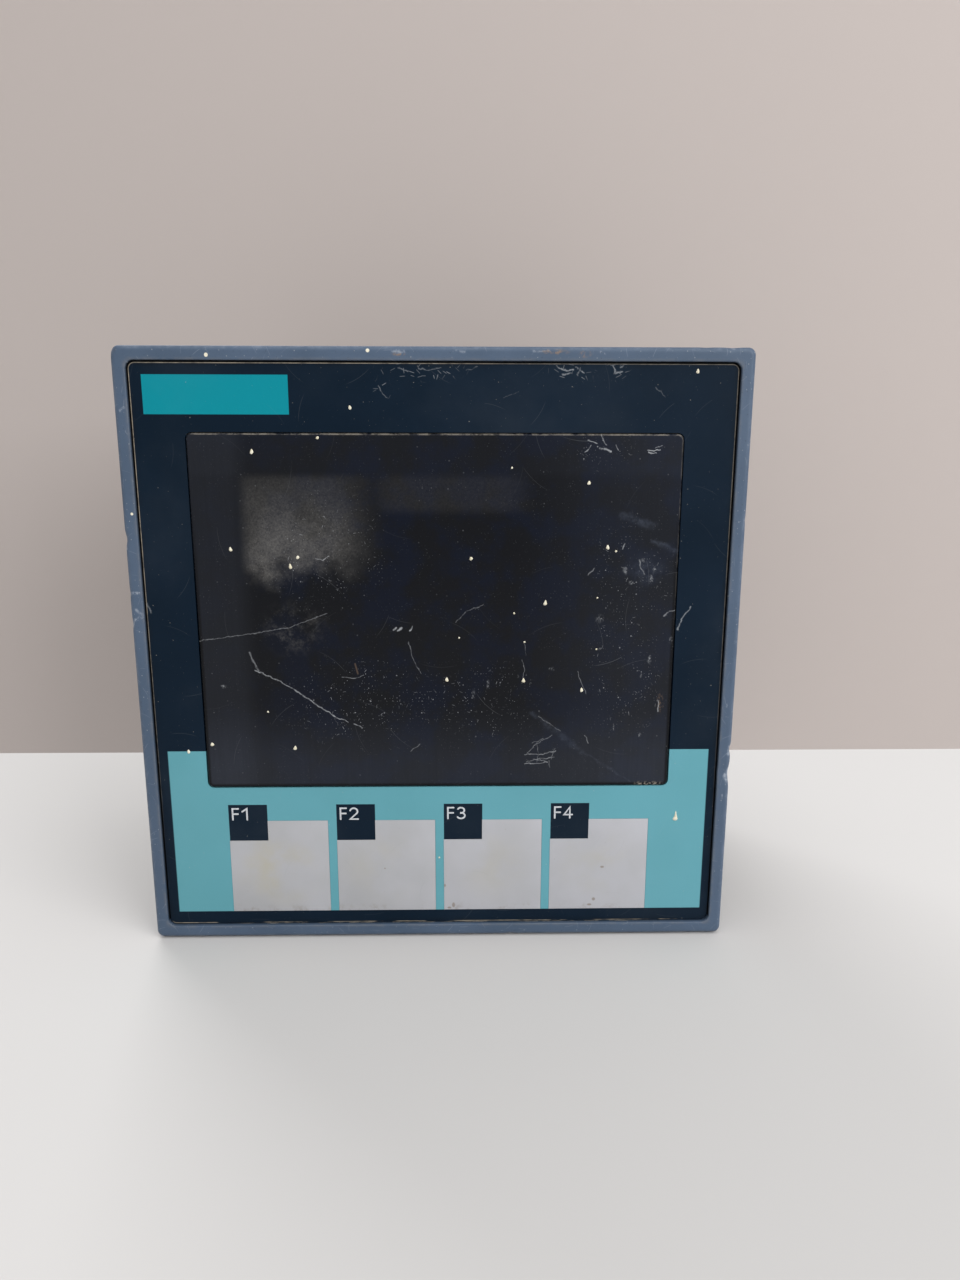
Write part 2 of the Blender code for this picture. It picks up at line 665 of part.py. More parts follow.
def block_layout():
    """Name, poles, middle and side (up or down) of the three terminal blocks."""
    voltage = block_width(4)
    supply = block_width(2)
    left = -(voltage + BLOCK_SPACING + supply) / 2
    return [
        ("current_terminal", 6, 0, 1),
        ("voltage_terminal", 4, left + voltage / 2, -1),
        ("supply_terminal", 2, left + voltage + BLOCK_SPACING + supply / 2, -1),
    ]


def clamp_teeth(side):
    """Sawtooth strip in a clamp track, in the housing's axes."""
    floor = HALF_HOUSING - TRACK_DEPTH
    pitch = TRACK_LENGTH / (TOOTH_COUNT + 2)
    start = TRACK_FRONT + pitch
    outline = [(side * (floor - TRACK_DEPTH / 2), start), (side * (floor + TOOTH_RISE / 8), start)]
    for tooth in range(TOOTH_COUNT):
        near = start + tooth * pitch
        outline.append((side * (floor + TOOTH_RISE), near + pitch / 4))
        outline.append((side * (floor + TOOTH_RISE / 8), near + pitch))
    outline.append((side * (floor - TRACK_DEPTH / 2), start + TOOTH_COUNT * pitch))
    return prism(outline, -TOOTH_WIDTH / 2, TOOTH_WIDTH / 2, "Z")


def rear_housing(unit, material):
    """Moulded box behind the panel. Its origin is on the front land's middle, so depths are its Y."""
    front = BEZEL_DEPTH + SEAT
    full = rounded(2 * HALF_HOUSING, 2 * HALF_HOUSING, HOUSING_CORNER)
    small = 2 * (HALF_HOUSING - HOUSING_CHAMFER)
    shell = loft([
        (front, full), (REAR_FACE - HOUSING_CHAMFER, full),
        (REAR_FACE, rounded(small, small, HOUSING_CORNER - HOUSING_CHAMFER)),
    ])
    housing = add("rear_housing", shell, (0, at(0), MIDDLE), material, unit)
    past = HOUSING_WALL
    hollow = rounded(2 * HALF_INSIDE, 2 * HALF_INSIDE, HOUSING_CORNER)
    carve(housing, "hollow", prism(hollow, front - past, REAR_INSIDE))
    housing_supports(housing)
    housing_openings(housing)
    housing_sides(housing)


def housing_supports(housing):
    """Ribs and posts that carry the two boards."""
    sink = HOUSING_WALL / 2
    ribs = []
    for side in (-1, 1):
        for end in (-1, 1):
            rib = block(RIB_HEIGHT + sink, REAR_INSIDE + sink - DISPLAY_BOARD_BACK - SEAT, RIB_WIDTH)
            x = side * (HALF_INSIDE + sink / 2 - RIB_HEIGHT / 2)
            ribs.append(moved(rib, x, DISPLAY_BOARD_BACK + SEAT, end * RIB_SPAN / 2))
    carve(housing, "ribs", joined(ribs), "UNION")
    posts = []
    for side in (-1, 1):
        for end in (-1, 1):
            post = prism(circle(POST_RADIUS, SMALL_STEPS), TERMINAL_BOARD_BACK + SEAT, REAR_INSIDE + sink)
            posts.append(moved(post, side * POST_SPAN_X / 2, 0, end * POST_SPAN_Z / 2))
    carve(housing, "posts", joined(posts), "UNION")


def housing_openings(housing):
    """Openings in the rear: terminals, connectors, module slot with the recess of its cover."""
    past = 2 * HOUSING_WALL
    bays = []
    inner = HALF_HOUSING - BLOCK_INSET - BLOCK_HEIGHT - SEAT
    height = HALF_HOUSING + past - inner
    start = BLOCK_FRONT + BLOCK_FOOT - SEAT
    for _, poles, x, side in block_layout():
        bay = block(block_width(poles) + 2 * SEAT, TOTAL_DEPTH + past - start, height)
        bays.append(moved(bay, x, start, side * (inner + height / 2)))
    carve(housing, "terminal_bays", joined(bays))

    deep = REAR_INSIDE - past
    jack = prism(rectangle(JACK_WIDTH + 2 * SEAT, JACK_HEIGHT + 2 * SEAT), deep, TOTAL_DEPTH)
    width, height = signal_size()
    signal = prism(rectangle(width + 2 * SEAT, height + 2 * SEAT), deep, TOTAL_DEPTH)
    slot = prism(rectangle(COVER_WIDTH - 2 * COVER_RIM, COVER_HEIGHT - 2 * COVER_RIM), deep, TOTAL_DEPTH)
    carve(housing, "connectors", joined([
        moved(jack, JACK_X, 0, ROW_RISE), moved(signal, SIGNAL_X, 0, ROW_RISE), moved(slot, 0, 0, -COVER_DROP),
    ]))
    sunk = rounded(COVER_WIDTH + 2 * SEAT, COVER_HEIGHT + 2 * SEAT, COVER_CORNER + SEAT)
    recess = prism(sunk, REAR_FACE - COVER_THICKNESS - SEAT, TOTAL_DEPTH)
    carve(housing, "cover_recess", moved(recess, 0, 0, -COVER_DROP))


def housing_sides(housing):
    """Vents above and below, windows for the bezel's barbs, clamp tracks left and right."""
    tall = 2 * FRONT_SIZE
    vents = []
    for index in range(VENT_COUNT):
        x = (index - (VENT_COUNT - 1) / 2) * VENT_PITCH
        vents.append(moved(block(VENT_WIDTH, VENT_LENGTH, tall), x, VENT_FRONT, 0))
    carve(housing, "vents", joined(vents))
    start = COLLAR_BACK - BARB_LENGTH - COLLAR_WALL / 4 - SEAT
    windows = []
    for side in (-1, 1):
        window = block(BARB_WIDTH + 2 * SEAT, BARB_LENGTH + 2 * SEAT, tall)
        windows.append(moved(window, side * BARB_SPAN / 2, start, 0))
    carve(housing, "barb_windows", joined(windows))
    tracks = []
    for side in (-1, 1):
        track = block(2 * TRACK_DEPTH, TRACK_LENGTH, TRACK_WIDTH)
        tracks.append(moved(track, side * HALF_HOUSING, TRACK_FRONT, 0))
    carve(housing, "clamp_tracks", joined(tracks))
    carve(housing, "clamp_teeth", joined([clamp_teeth(-1), clamp_teeth(1)]), "UNION")


def slot_cover(unit, material):
    """Blind cover of the module slot with a thumb nick."""
    plate = prism(rounded(COVER_WIDTH, COVER_HEIGHT, COVER_CORNER), 0, COVER_THICKNESS)
    front = REAR_FACE - COVER_THICKNESS
    cover = add("module_slot_cover", plate, (0, at(front), MIDDLE - COVER_DROP), material, unit)
    nick = prism(circle(COVER_NICK, SMALL_STEPS), -COVER_THICKNESS, 2 * COVER_THICKNESS)
    carve(cover, "nick", moved(nick, 0, 0, COVER_HEIGHT / 2))


# Terminals and connectors

def pole_x(pole, poles):
    """Middle of a pole about the block's middle."""
    return (pole - (poles - 1) / 2) * POLE_PITCH


def terminal_block(name, poles, x, side, unit, material):
    """Terminal block with fins between the poles, screw wells in the rear and wire entries outside."""
    width = block_width(poles)
    low = HALF_HOUSING - BLOCK_INSET - BLOCK_HEIGHT
    foot = HALF_INSIDE - SEAT - low
    side_view = [
        (0, 0), (0, foot), (BLOCK_FOOT, foot), (BLOCK_FOOT, BLOCK_HEIGHT),
        (BLOCK_DEPTH - BLOCK_CHAMFER, BLOCK_HEIGHT), (BLOCK_DEPTH, BLOCK_HEIGHT - BLOCK_CHAMFER), (BLOCK_DEPTH, 0),
    ]
    body = prism(side_view, -width / 2, width / 2, "X")
    turn = 0.0 if side > 0 else math.pi
    piece = add(f"{name}_block", body, (x, at(BLOCK_FRONT), MIDDLE + side * low), material, unit, turn)

    floor = BLOCK_DEPTH - FIN_RISE
    well = floor - WELL_DEPTH
    channel = well - SCREW_SHANK
    places = [pole_x(pole, poles) for pole in range(poles)]
    gap = POLE_PITCH - FIN_THICKNESS
    lanes = [moved(block(gap, 2 * FIN_RISE, 4 * BLOCK_HEIGHT), place, floor, 0) for place in places]
    carve(piece, "lanes", joined(lanes))
    wide = circle(SCREW_HEAD_RADIUS + WELL_PLAY, SMALL_STEPS)
    carve(piece, "wells", joined([moved(prism(wide, well, BLOCK_DEPTH), place, 0, SCREW_HEIGHT) for place in places]))
    thin = circle(SCREW_SHANK_RADIUS + WELL_PLAY, SMALL_STEPS)
    deep = channel - WIRE_HOLE / 2
    carve(piece, "shanks", joined([moved(prism(thin, deep, floor), place, 0, SCREW_HEIGHT) for place in places]))
    bottom = SCREW_HEIGHT - SCREW_HEAD_RADIUS
    middle = channel - WIRE_HOLE / 2
    entry = rectangle(WIRE_HOLE, WIRE_HOLE)
    entries = [moved(prism(entry, bottom, 2 * BLOCK_HEIGHT, "Z"), place, middle, 0) for place in places]
    carve(piece, "entries", joined(entries))
    mouth = rectangle(WIRE_HOLE + 2 * WIRE_FUNNEL, WIRE_HOLE + 2 * WIRE_FUNNEL)
    brim = BLOCK_HEIGHT - WIRE_FUNNEL
    mouths = [moved(prism(mouth, brim, 2 * BLOCK_HEIGHT, "Z"), place, middle, 0) for place in places]
    carve(piece, "mouths", joined(mouths))


def terminal_screw(name, x, side, unit, material):
    """Slotted clamping screw in its well."""
    seat = BLOCK_DEPTH - FIN_RISE - WELL_DEPTH + SEAT
    edge = SCREW_HEAD / 5
    body = turned([
        (0, -SCREW_SHANK), (SCREW_SHANK_RADIUS, -SCREW_SHANK), (SCREW_SHANK_RADIUS, 0), (SCREW_HEAD_RADIUS, 0),
        (SCREW_HEAD_RADIUS, SCREW_HEAD - edge), (SCREW_HEAD_RADIUS - edge, SCREW_HEAD), (0, SCREW_HEAD),
    ], SMALL_STEPS)
    height = HALF_HOUSING - BLOCK_INSET - BLOCK_HEIGHT + SCREW_HEIGHT
    screw = add(name, body, (x, at(BLOCK_FRONT + seat), MIDDLE + side * height), material, unit)
    slot = block(4 * SCREW_HEAD_RADIUS, SCREW_HEAD, SCREW_SLOT)
    carve(screw, "slot", moved(slot, 0, SCREW_HEAD / 2, 0))


def network_jack(unit, material):
    """Shielded socket with a stepped mouth for the plug's latch."""
    depth = REAR_FACE - SEAT - BLOCK_FRONT
    case = prism(rounded(JACK_WIDTH, JACK_HEIGHT, SEAT), 0, depth)
    jack = add("network_jack", case, (JACK_X, at(BLOCK_FRONT), MIDDLE + ROW_RISE), material, unit)
    half = JACK_SOCKET_WIDTH / 2
    high = JACK_SOCKET_HEIGHT / 2
    notch = JACK_NOTCH_WIDTH / 2
    low = -high - JACK_NOTCH
    mouth = [
        (-half, -high), (-notch, -high), (-notch, low), (notch, low), (notch, -high), (half, -high),
        (half, high), (-half, high),
    ]
    carve(jack, "socket", moved(prism(mouth, depth - JACK_SOCKET_DEPTH, 2 * depth), 0, 0, JACK_NOTCH / 2))


def signal_size():
    """Outer width and height of the signal connector's header."""
    return SIGNAL_POLES * SIGNAL_PITCH + 2 * (SIGNAL_WALL + SEAT), SIGNAL_HEIGHT


def signal_connector(unit, header_material, plug_material):
    """Header on the terminal board and the wired plug that sits in it."""
    width, height = signal_size()
    depth = REAR_FACE - SEAT - BLOCK_FRONT
    place = (SIGNAL_X, at(BLOCK_FRONT), MIDDLE + ROW_RISE)
    header = add("signal_header", block(width, depth, height), place, header_material, unit)
    inner = rectangle(width - 2 * SIGNAL_WALL, height - 2 * SIGNAL_WALL)
    carve(header, "shroud", prism(inner, SIGNAL_FLOOR, 2 * depth))

    play = 2 * (SIGNAL_WALL + SEAT)
    front = SIGNAL_FLOOR + SEAT
    length = TOTAL_DEPTH - BLOCK_FRONT - front
    place = (SIGNAL_X, at(BLOCK_FRONT + front), MIDDLE + ROW_RISE)
    plug = add("signal_plug", block(width - play, length, height - play), place, plug_material, unit)
    offsets = [(pole - (SIGNAL_POLES - 1) / 2) * SIGNAL_PITCH for pole in range(SIGNAL_POLES)]
    rise = height / 5
    deep = length - 2 * SIGNAL_HOLE
    wires = [moved(prism(rectangle(SIGNAL_HOLE, SIGNAL_HOLE), deep, 2 * length), x, 0, -rise) for x in offsets]
    heads = [moved(prism(circle(SIGNAL_HOLE / 2, SMALL_STEPS), deep, 2 * length), x, 0, rise) for x in offsets]
    carve(plug, "openings", joined(wires + heads))


def build():
    """The whole unit."""
    for leftover in list(bpy.data.objects):
        bpy.data.objects.remove(leftover, do_unlink=True)
    unit = empty("operator_unit", (0, 0, 0))

    frame_grey = finish("bezel_plastic", colour_of(90, 105, 124), 0.5)
    overlay_blue = finish("overlay_foil", colour_of(22, 34, 47), 0.45)
    pane_black = finish("window_pane", colour_of(22, 23, 28), 0.12)
    gasket_black = finish("gasket_rubber", colour_of(34, 34, 36), 0.85)
    key_grey = finish("key_foil", colour_of(176, 177, 180), 0.5)
    plunger_white = finish("plunger_plastic", colour_of(205, 206, 202), 0.5)
    switch_black = finish("switch_plastic", colour_of(38, 38, 40), 0.5)
    stem_cream = finish("stem_plastic", colour_of(222, 214, 190), 0.5)
    sheet_steel = finish("sheet_steel", colour_of(170, 172, 174), 0.35, 1.0)
    glass_dark = finish("display_glass", colour_of(30, 34, 36), 0.1)
    light_white = finish("backlight_plastic", colour_of(226, 226, 222), 0.4)
    board_green = finish("board_laminate", colour_of(24, 78, 52), 0.45)
    housing_grey = finish("housing_plastic", colour_of(58, 62, 67), 0.55)
    ring_blue = finish("ring_potting", colour_of(36, 52, 92), 0.4)
    copper = finish("bar_copper", colour_of(184, 115, 80), 0.3, 1.0)
    core_grey = finish("core_iron", colour_of(62, 60, 58), 0.6, 0.5)
    can_silver = finish("can_aluminium", colour_of(160, 163, 168), 0.35, 1.0)
    link_black = finish("link_plastic", colour_of(28, 28, 30), 0.5)
    block_grey = finish("terminal_plastic", colour_of(44, 46, 49), 0.5)
    screw_steel = finish("screw_steel", colour_of(186, 184, 178), 0.3, 1.0)
    jack_steel = finish("jack_shield", colour_of(176, 178, 180), 0.3, 1.0)
    plug_green = finish("plug_plastic", colour_of(62, 66, 70), 0.5)
    cover_grey = finish("cover_plastic", colour_of(66, 70, 75), 0.55)

    front_bezel(unit, frame_grey)
    front_overlay(unit, overlay_blue)
    display_window(unit, pane_black)
    panel_gasket(unit, gasket_black)
    for index in range(KEY_COUNT):
        key(index, unit, key_grey, plunger_white, stem_cream)
        switch_body(index, unit, switch_black)
    module_frame(unit, sheet_steel)
    module_layers(unit, glass_dark, light_white)
    display_board(unit, board_green)
    terminal_board(unit, board_green)
    for index in range(3):
        current_transformer(index, unit, ring_blue, copper)
    supply_transformer(unit, core_grey)
    for index in range(CAN_COUNT):
        capacitor(index, unit, can_silver)
    board_link(unit, link_black)
    rear_housing(unit, housing_grey)
    slot_cover(unit, cover_grey)
    for name, poles, x, side in block_layout():
        terminal_block(name, poles, x, side, unit, block_grey)
        for pole in range(poles):
            terminal_screw(f"{name}_screw_{pole + 1}", x + pole_x(pole, poles), side, unit, screw_steel)
    network_jack(unit, jack_steel)
    signal_connector(unit, link_black, plug_green)


build()
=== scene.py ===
# %% [markdown]
# # A panel operator unit, dressed for its picture
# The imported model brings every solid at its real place, in metres, with the front facing -Y and +Z up.
# This lesson gives those solids their looks: moulded plastic, printed foil, a smoked window, and the
# dust and scratches of a unit that has served for years. Nothing is moved: a piece is either a CAD node
# with a better finish, or a finer surface that stands for the node in the same place.

# %% Frame
import math

import bmesh
import bpy
import numpy as np
from mathutils import Matrix, Vector


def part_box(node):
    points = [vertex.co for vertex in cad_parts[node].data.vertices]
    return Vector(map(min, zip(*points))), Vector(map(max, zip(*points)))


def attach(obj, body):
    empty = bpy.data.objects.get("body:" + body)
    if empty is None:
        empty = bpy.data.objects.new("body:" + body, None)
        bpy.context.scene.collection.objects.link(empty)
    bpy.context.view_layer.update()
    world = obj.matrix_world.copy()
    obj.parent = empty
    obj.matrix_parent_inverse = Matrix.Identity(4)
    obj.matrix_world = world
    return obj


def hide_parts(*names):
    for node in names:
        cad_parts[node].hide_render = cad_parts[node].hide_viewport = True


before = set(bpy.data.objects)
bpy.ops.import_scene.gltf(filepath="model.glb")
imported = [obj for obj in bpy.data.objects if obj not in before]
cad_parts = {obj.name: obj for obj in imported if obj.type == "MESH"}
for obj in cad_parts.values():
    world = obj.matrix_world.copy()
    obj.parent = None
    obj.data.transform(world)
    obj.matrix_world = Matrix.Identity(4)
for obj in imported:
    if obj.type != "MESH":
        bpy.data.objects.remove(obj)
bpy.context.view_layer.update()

MM = 0.001

# %% [markdown]
# ## The camera
# The unit was photographed from close by with a wide lens, from a little above its middle and a little
# to the right, so its sides run together towards the bottom. A camera is a place, three angles and a
# focal length; these were worked out from the four corners of the square bezel.

# %% Camera
CAMERA_PLACE = Vector((0.00413, -0.1633, 0.0802))
CAMERA_PAN, CAMERA_TILT, CAMERA_ROLL = -1.09, -11.97, -0.1
CAMERA_LENS = 24.54
CAMERA_SENSOR = 36.0
CAMERA_NEAR = 0.005

camera = bpy.data.objects.new("camera", bpy.data.cameras.new("camera"))
camera.data.lens = CAMERA_LENS
camera.data.sensor_width = CAMERA_SENSOR
camera.data.clip_start = CAMERA_NEAR
camera_turns = [(CAMERA_PAN, "Z"), (CAMERA_TILT, "X"), (CAMERA_ROLL, "Y"), (90, "X")]
camera.matrix_world = Matrix.Translation(CAMERA_PLACE)
for degrees, axis in camera_turns:
    camera.matrix_world = camera.matrix_world @ Matrix.Rotation(math.radians(degrees), 4, axis)
bpy.context.scene.collection.objects.link(camera)
bpy.context.scene.camera = camera
bpy.context.scene.view_settings.view_transform = "Standard"
print("camera looks along", [round(c, 3) for c in camera.matrix_world.to_3x3() @ Vector((0, 0, -1))])

# %% [markdown]
# ## Shader arithmetic
# A finish is a tree of nodes. Written one node at a time it is hard to read, so a socket is wrapped in a
# small class: `a * b + 1` then adds the Math nodes that say the same. Every other kind of node comes from
# one method that takes its type, its settings and what goes into its sockets.


# %% Shader arithmetic
class Shade:
    """A socket of a finish that can be calculated with: each operator adds one Math node."""

    def __init__(self, finish, socket):
        self.finish = finish
        self.socket = socket

    def maths(self, operation, *values):
        return self.finish.node("ShaderNodeMath", {"operation": operation}, dict(enumerate(values)))

    def __add__(self, other):
        return self.maths("ADD", self, other)

    def __sub__(self, other):
        return self.maths("SUBTRACT", self, other)

    def __rsub__(self, other):
        return self.maths("SUBTRACT", other, self)

    def __mul__(self, other):
        return self.maths("MULTIPLY", self, other)

    def __truediv__(self, other):
        return self.maths("DIVIDE", self, other)

    def __mod__(self, other):
        return self.maths("FLOORED_MODULO", self, other)

    def __pow__(self, other):
        return self.maths("POWER", self, other)

    def __abs__(self):
        return self.maths("ABSOLUTE", self)

    __radd__ = __add__
    __rmul__ = __mul__

    def most(self, other):
        return self.maths("MAXIMUM", self, other)

    def least(self, other):
        return self.maths("MINIMUM", self, other)

    def rise(self, start, end):
        """0 at start and 1 at end, with a smooth step between; start above end gives a fall."""
        settings = {"interpolation_type": "SMOOTHSTEP"}
        sockets = {"Value": self, "From Min": start, "From Max": end}
        return self.finish.node("ShaderNodeMapRange", settings, sockets)

    def between(self, low, high, soft):
        """1 from low to high and 0 outside, with edges that are 2 * soft wide."""
        return self.rise(low - soft, low + soft) * self.rise(high + soft, high - soft)

    def also(self, output):
        """Another output of the same node."""
        return Shade(self.finish, self.socket.node.outputs[output])


class Finish:
    """A material in the making, round one Principled shader whose constants are set at once."""

    def __init__(self, name, **constants):
        self.material = bpy.data.materials.new(name)
        self.material.use_nodes = True
        self.tree = self.material.node_tree
        self.shader = self.tree.nodes["Principled BSDF"]
        for socket, value in constants.items():
            self.shader.inputs[socket.replace("_", " ")].default_value = value
        self.place = self.node("ShaderNodeTexCoord", output="Object")

    def node(self, kind, settings=None, sockets=None, output=0):
        """Adds any node: its type, its settings, then the values or links of its sockets."""
        made = self.tree.nodes.new(kind)
        for key, value in (settings or {}).items():
            setattr(made, key, value)
        for key, value in (sockets or {}).items():
            self.feed(made.inputs[key], value)
        return Shade(self, made.outputs[output])

    def feed(self, socket, value):
        if isinstance(value, Shade):
            self.tree.links.new(value.socket, socket)
        else:
            socket.default_value = value

    def surface(self, **sockets):
        """Hands results to the shader's own sockets and gives back the finished material."""
        for socket, value in sockets.items():
            self.feed(self.shader.inputs[socket.replace("_", " ")], value)
        return self.material


print("shader arithmetic ready")

# %% [markdown]
# ## Patterns that most finishes share
# Noise, cells and streaks are measured in millimetres of the real surface, so a grain keeps its scale on
# every piece. Colours are written as they look on a screen, from 0 to 255, and turned into the linear
# values that a shader works with.


# %% Shared patterns
def screen(red, green, blue):
    """A colour as a screen shows it, made linear: ((c + 0.055) / 1.055) to the power 2.4."""
    share = np.array([red, green, blue]) / 255
    linear = np.where(share > 0.04045, ((share + 0.055) / 1.055) ** 2.4, share / 12.92)
    return (*[float(c) for c in linear], 1.0)


def grain(finish, size, detail=2.0, stretch=None, rough=0.5):
    """Cloudy noise from 0 to 1 whose blots are about size mm; stretch lengthens it along an axis."""
    place = finish.place
    if stretch:
        place = finish.node("ShaderNodeMapping", None, {"Vector": place, "Scale": stretch})
    sockets = {"Vector": place, "Scale": 1 / (size * MM), "Detail": detail, "Roughness": rough}
    return finish.node("ShaderNodeTexNoise", None, sockets)


def cells(finish, size):
    """Distance to the middle of the nearest cell, for cells about size mm wide."""
    return finish.node("ShaderNodeTexVoronoi", None, {"Vector": finish.place, "Scale": 1 / (size * MM)})


def mixed(finish, under, over, amount):
    """One colour over another, by amount."""
    return finish.node("ShaderNodeMix", {"data_type": "RGBA"}, {0: amount, 6: under, 7: over}, output=2)


def embossed(finish, height, depth):
    """A normal from a height: depth is the real height in mm of the step from 0 to 1."""
    return finish.node("ShaderNodeBump", None, {"Height": height, "Distance": depth * MM}, "Normal")


def across(finish):
    """Object coordinates in millimetres: x to the right, y to the rear, z up."""
    scaled = finish.node("ShaderNodeVectorMath", {"operation": "SCALE"}, {0: finish.place, "Scale": 1 / MM})
    x = finish.node("ShaderNodeSeparateXYZ", None, {0: scaled})
    return x, x.also("Y"), x.also("Z")


def toned(colour, share):
    """A colour made darker, or with a share above 1 lighter."""
    return (*[share * c for c in colour[:3]], 1.0)


print("a mid grey of 128 is", round(screen(128, 128, 128)[0], 4), "in linear light")

# %% [markdown]
# ## Moulded plastic
# Most of the unit is injection-moulded. Such a surface copies the spark-eroded texture of its mould: a
# very fine, even grain that breaks up the reflection. Over the years it picks up a faint mottling of
# handling and dust. One function makes the whole family, and each piece brings its own colour and grain.


# %% Moulded plastic
def moulded(name, colour, roughness=0.5, texture=0.35, height=0.02, dust=0.1):
    """A moulding: a colour that drifts by a few per cent, an eroded grain and a thin film of dust."""
    finish = Finish(name, Specular_IOR_Level=0.4)
    drift = grain(finish, 14, 3)
    fine = grain(finish, texture, 2)
    film = grain(finish, 2.5, 6, rough=0.7).rise(0.45, 0.85)
    shade = mixed(finish, toned(colour, 0.9), colour, drift.rise(0.3, 0.7))
    shade = mixed(finish, shade, screen(176, 170, 160), film * dust)
    pores = fine * 0.8 + cells(finish, 1.3 * texture) * 0.2
    return finish.surface(
        Base_Color=mixed(finish, shade, (0.0, 0.0, 0.0, 1), fine.rise(0.62, 0.8) * 0.18),
        Roughness=fine * 0.14 + film * 0.16 + (roughness - 0.1),
        Normal=embossed(finish, pores, height),
    )


HOUSING_GREY = screen(58, 62, 67)
housing_plastic = moulded("housing_plastic", HOUSING_GREY, 0.52, 0.45, 0.03, 0.05)
cover_plastic = moulded("cover_plastic", screen(65, 69, 74), 0.48, 0.4, 0.025, 0.05)
terminal_plastic = moulded("terminal_plastic", screen(44, 46, 50), 0.42, 0.5, 0.012)
plug_plastic = moulded("plug_plastic", screen(62, 66, 70), 0.4, 0.5, 0.01)
switch_plastic = moulded("switch_plastic", screen(37, 37, 39), 0.4, 0.5, 0.008)
plunger_plastic = moulded("plunger_plastic", screen(204, 205, 201), 0.45, 0.5, 0.008, 0.04)
stem_plastic = moulded("stem_plastic", screen(221, 213, 190), 0.4, 0.5, 0.006, 0.04)
link_plastic = moulded("link_plastic", screen(28, 28, 30), 0.4, 0.5, 0.008)
print("moulded finishes:", len(bpy.data.materials))

# %% [markdown]
# ## Metal, board and winding finishes
# Behind the housing there is sheet steel, tinned and nickel-plated metal, copper, two printed boards and
# the potted cores of the transformers. Metals are brushed or drawn, so their grain is long in one
# direction; a board shows the copper tracks under its green resist as slightly lighter lines.


# %% Metal, board and winding finishes
def metal(name, colour, roughness=0.32, stretch=(1, 1, 0.06), stain=0.25):
    """Metal with a drawn grain along one axis and a cloudy film of tarnish."""
    finish = Finish(name, Metallic=1.0)
    lines = grain(finish, 0.25, 2, stretch)
    cloud = grain(finish, 2.5, 4).rise(0.4, 0.75)
    return finish.surface(
        Base_Color=mixed(finish, colour, toned(colour, 0.5), cloud * stain + lines * 0.15),
        Roughness=lines * 0.2 + cloud * 0.15 + (roughness - 0.12),
        Normal=embossed(finish, lines, 0.004),
    )


def resist_board(name):
    """Green resist over copper tracks that run up in some places and across in others."""
    finish = Finish(name, Specular_IOR_Level=0.5, Coat_Roughness=0.2)
    x, _, z = across(finish)
    turned = grain(finish, 11, 0).rise(0.49, 0.51)
    lengthways = abs(x % 1.27 - 0.635).rise(0.3, 0.25)
    crossways = abs(z % 1.27 - 0.635).rise(0.3, 0.25)
    track = lengthways * turned + crossways * (1 - turned)
    hole = cells(finish, 3.1).rise(0.2, 0.16)
    shade = mixed(finish, screen(18, 66, 44), screen(34, 92, 60), track * 0.8)
    shade = mixed(finish, shade, screen(196, 190, 172), hole)
    return finish.surface(
        Base_Color=shade,
        Roughness=0.42 - track * 0.08 + hole * 0.1,
        Normal=embossed(finish, track + hole * 0.5, 0.03),
    )


def laminated(name):
    """A stack of varnished iron sheets, each 0.5 mm, seen as lines along the stack."""
    finish = Finish(name, Metallic=0.6)
    x, *_ = across(finish)
    sheet = abs(x % 0.5 - 0.25).rise(0.02, 0.1)
    rust = grain(finish, 1.8, 4).rise(0.5, 0.75)
    shade = mixed(finish, screen(30, 28, 27), screen(72, 69, 66), sheet)
    return finish.surface(
        Base_Color=mixed(finish, shade, screen(96, 66, 48), rust * 0.35),
        Roughness=0.6 - sheet * 0.12,
        Normal=embossed(finish, sheet, 0.06),
    )


def drawn_can(name):
    """A capacitor's printed sleeve: a dark film with a pale stripe down one side."""
    finish = Finish(name, Specular_IOR_Level=0.5)
    stripe = grain(finish, 6, 0, (1, 0.02, 1)).rise(0.56, 0.58)
    shade = mixed(finish, screen(38, 44, 58), screen(164, 168, 174), stripe)
    return finish.surface(
        Base_Color=mixed(finish, shade, screen(20, 22, 28), grain(finish, 3, 3) * 0.25),
        Roughness=grain(finish, 0.8, 2) * 0.2 + 0.25,
        Normal=embossed(finish, grain(finish, 2, 2), 0.02),
    )


screw_metal = metal("screw_metal", screen(186, 183, 176), 0.34, (1, 1, 0.2), 0.35)
jack_metal = metal("jack_metal", screen(196, 198, 201), 0.42)
sheet_metal = metal("sheet_metal", screen(170, 172, 174), 0.4, (0.06, 1, 1))
copper_metal = metal("copper_metal", screen(184, 115, 79), 0.35, (0.1, 1, 1), 0.4)
gold_metal = metal("gold_metal", screen(214, 178, 104), 0.25, (1, 0.1, 1), 0.15)
ring_potting = moulded("ring_potting", screen(36, 52, 92), 0.35, 1.2, 0.03, 0.06)
board_resist = resist_board("board_resist")
core_iron = laminated("core_iron")
can_sleeve = drawn_can("can_sleeve")
print("finishes so far:", len(bpy.data.materials))

# %% [markdown]
# ## Table, wall and light
# In the picture the unit stands on its lower edge on a pale table in front of a pale wall. It leans back
# a little, because its housing is lower than its bezel, so here the table is tilted instead and the unit
# stays as it was modelled. The wall is seen only from the front: from behind it is see-through, and it
# neither shades nor lights the unit. The light is a large soft box from above and two weaker ones.

# %% Table and wall
FLANGE_REAR = -0.023
HOUSING_HEEL = 0.0257
TABLE_REACH = 2.0
WALL_PLACE = 0.056
WALL_HALF, WALL_TOP = 0.9, 0.7
TABLE_COLOUR = screen(204, 202, 201)
WALL_COLOUR = screen(190, 181, 177)

table_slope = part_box("rear_housing")[0].z / (HOUSING_HEEL - FLANGE_REAR)


def table_height(y):
    """Height of the table under a point: a plane through the bezel's and the housing's lower edge."""
    return (y - FLANGE_REAR) * table_slope


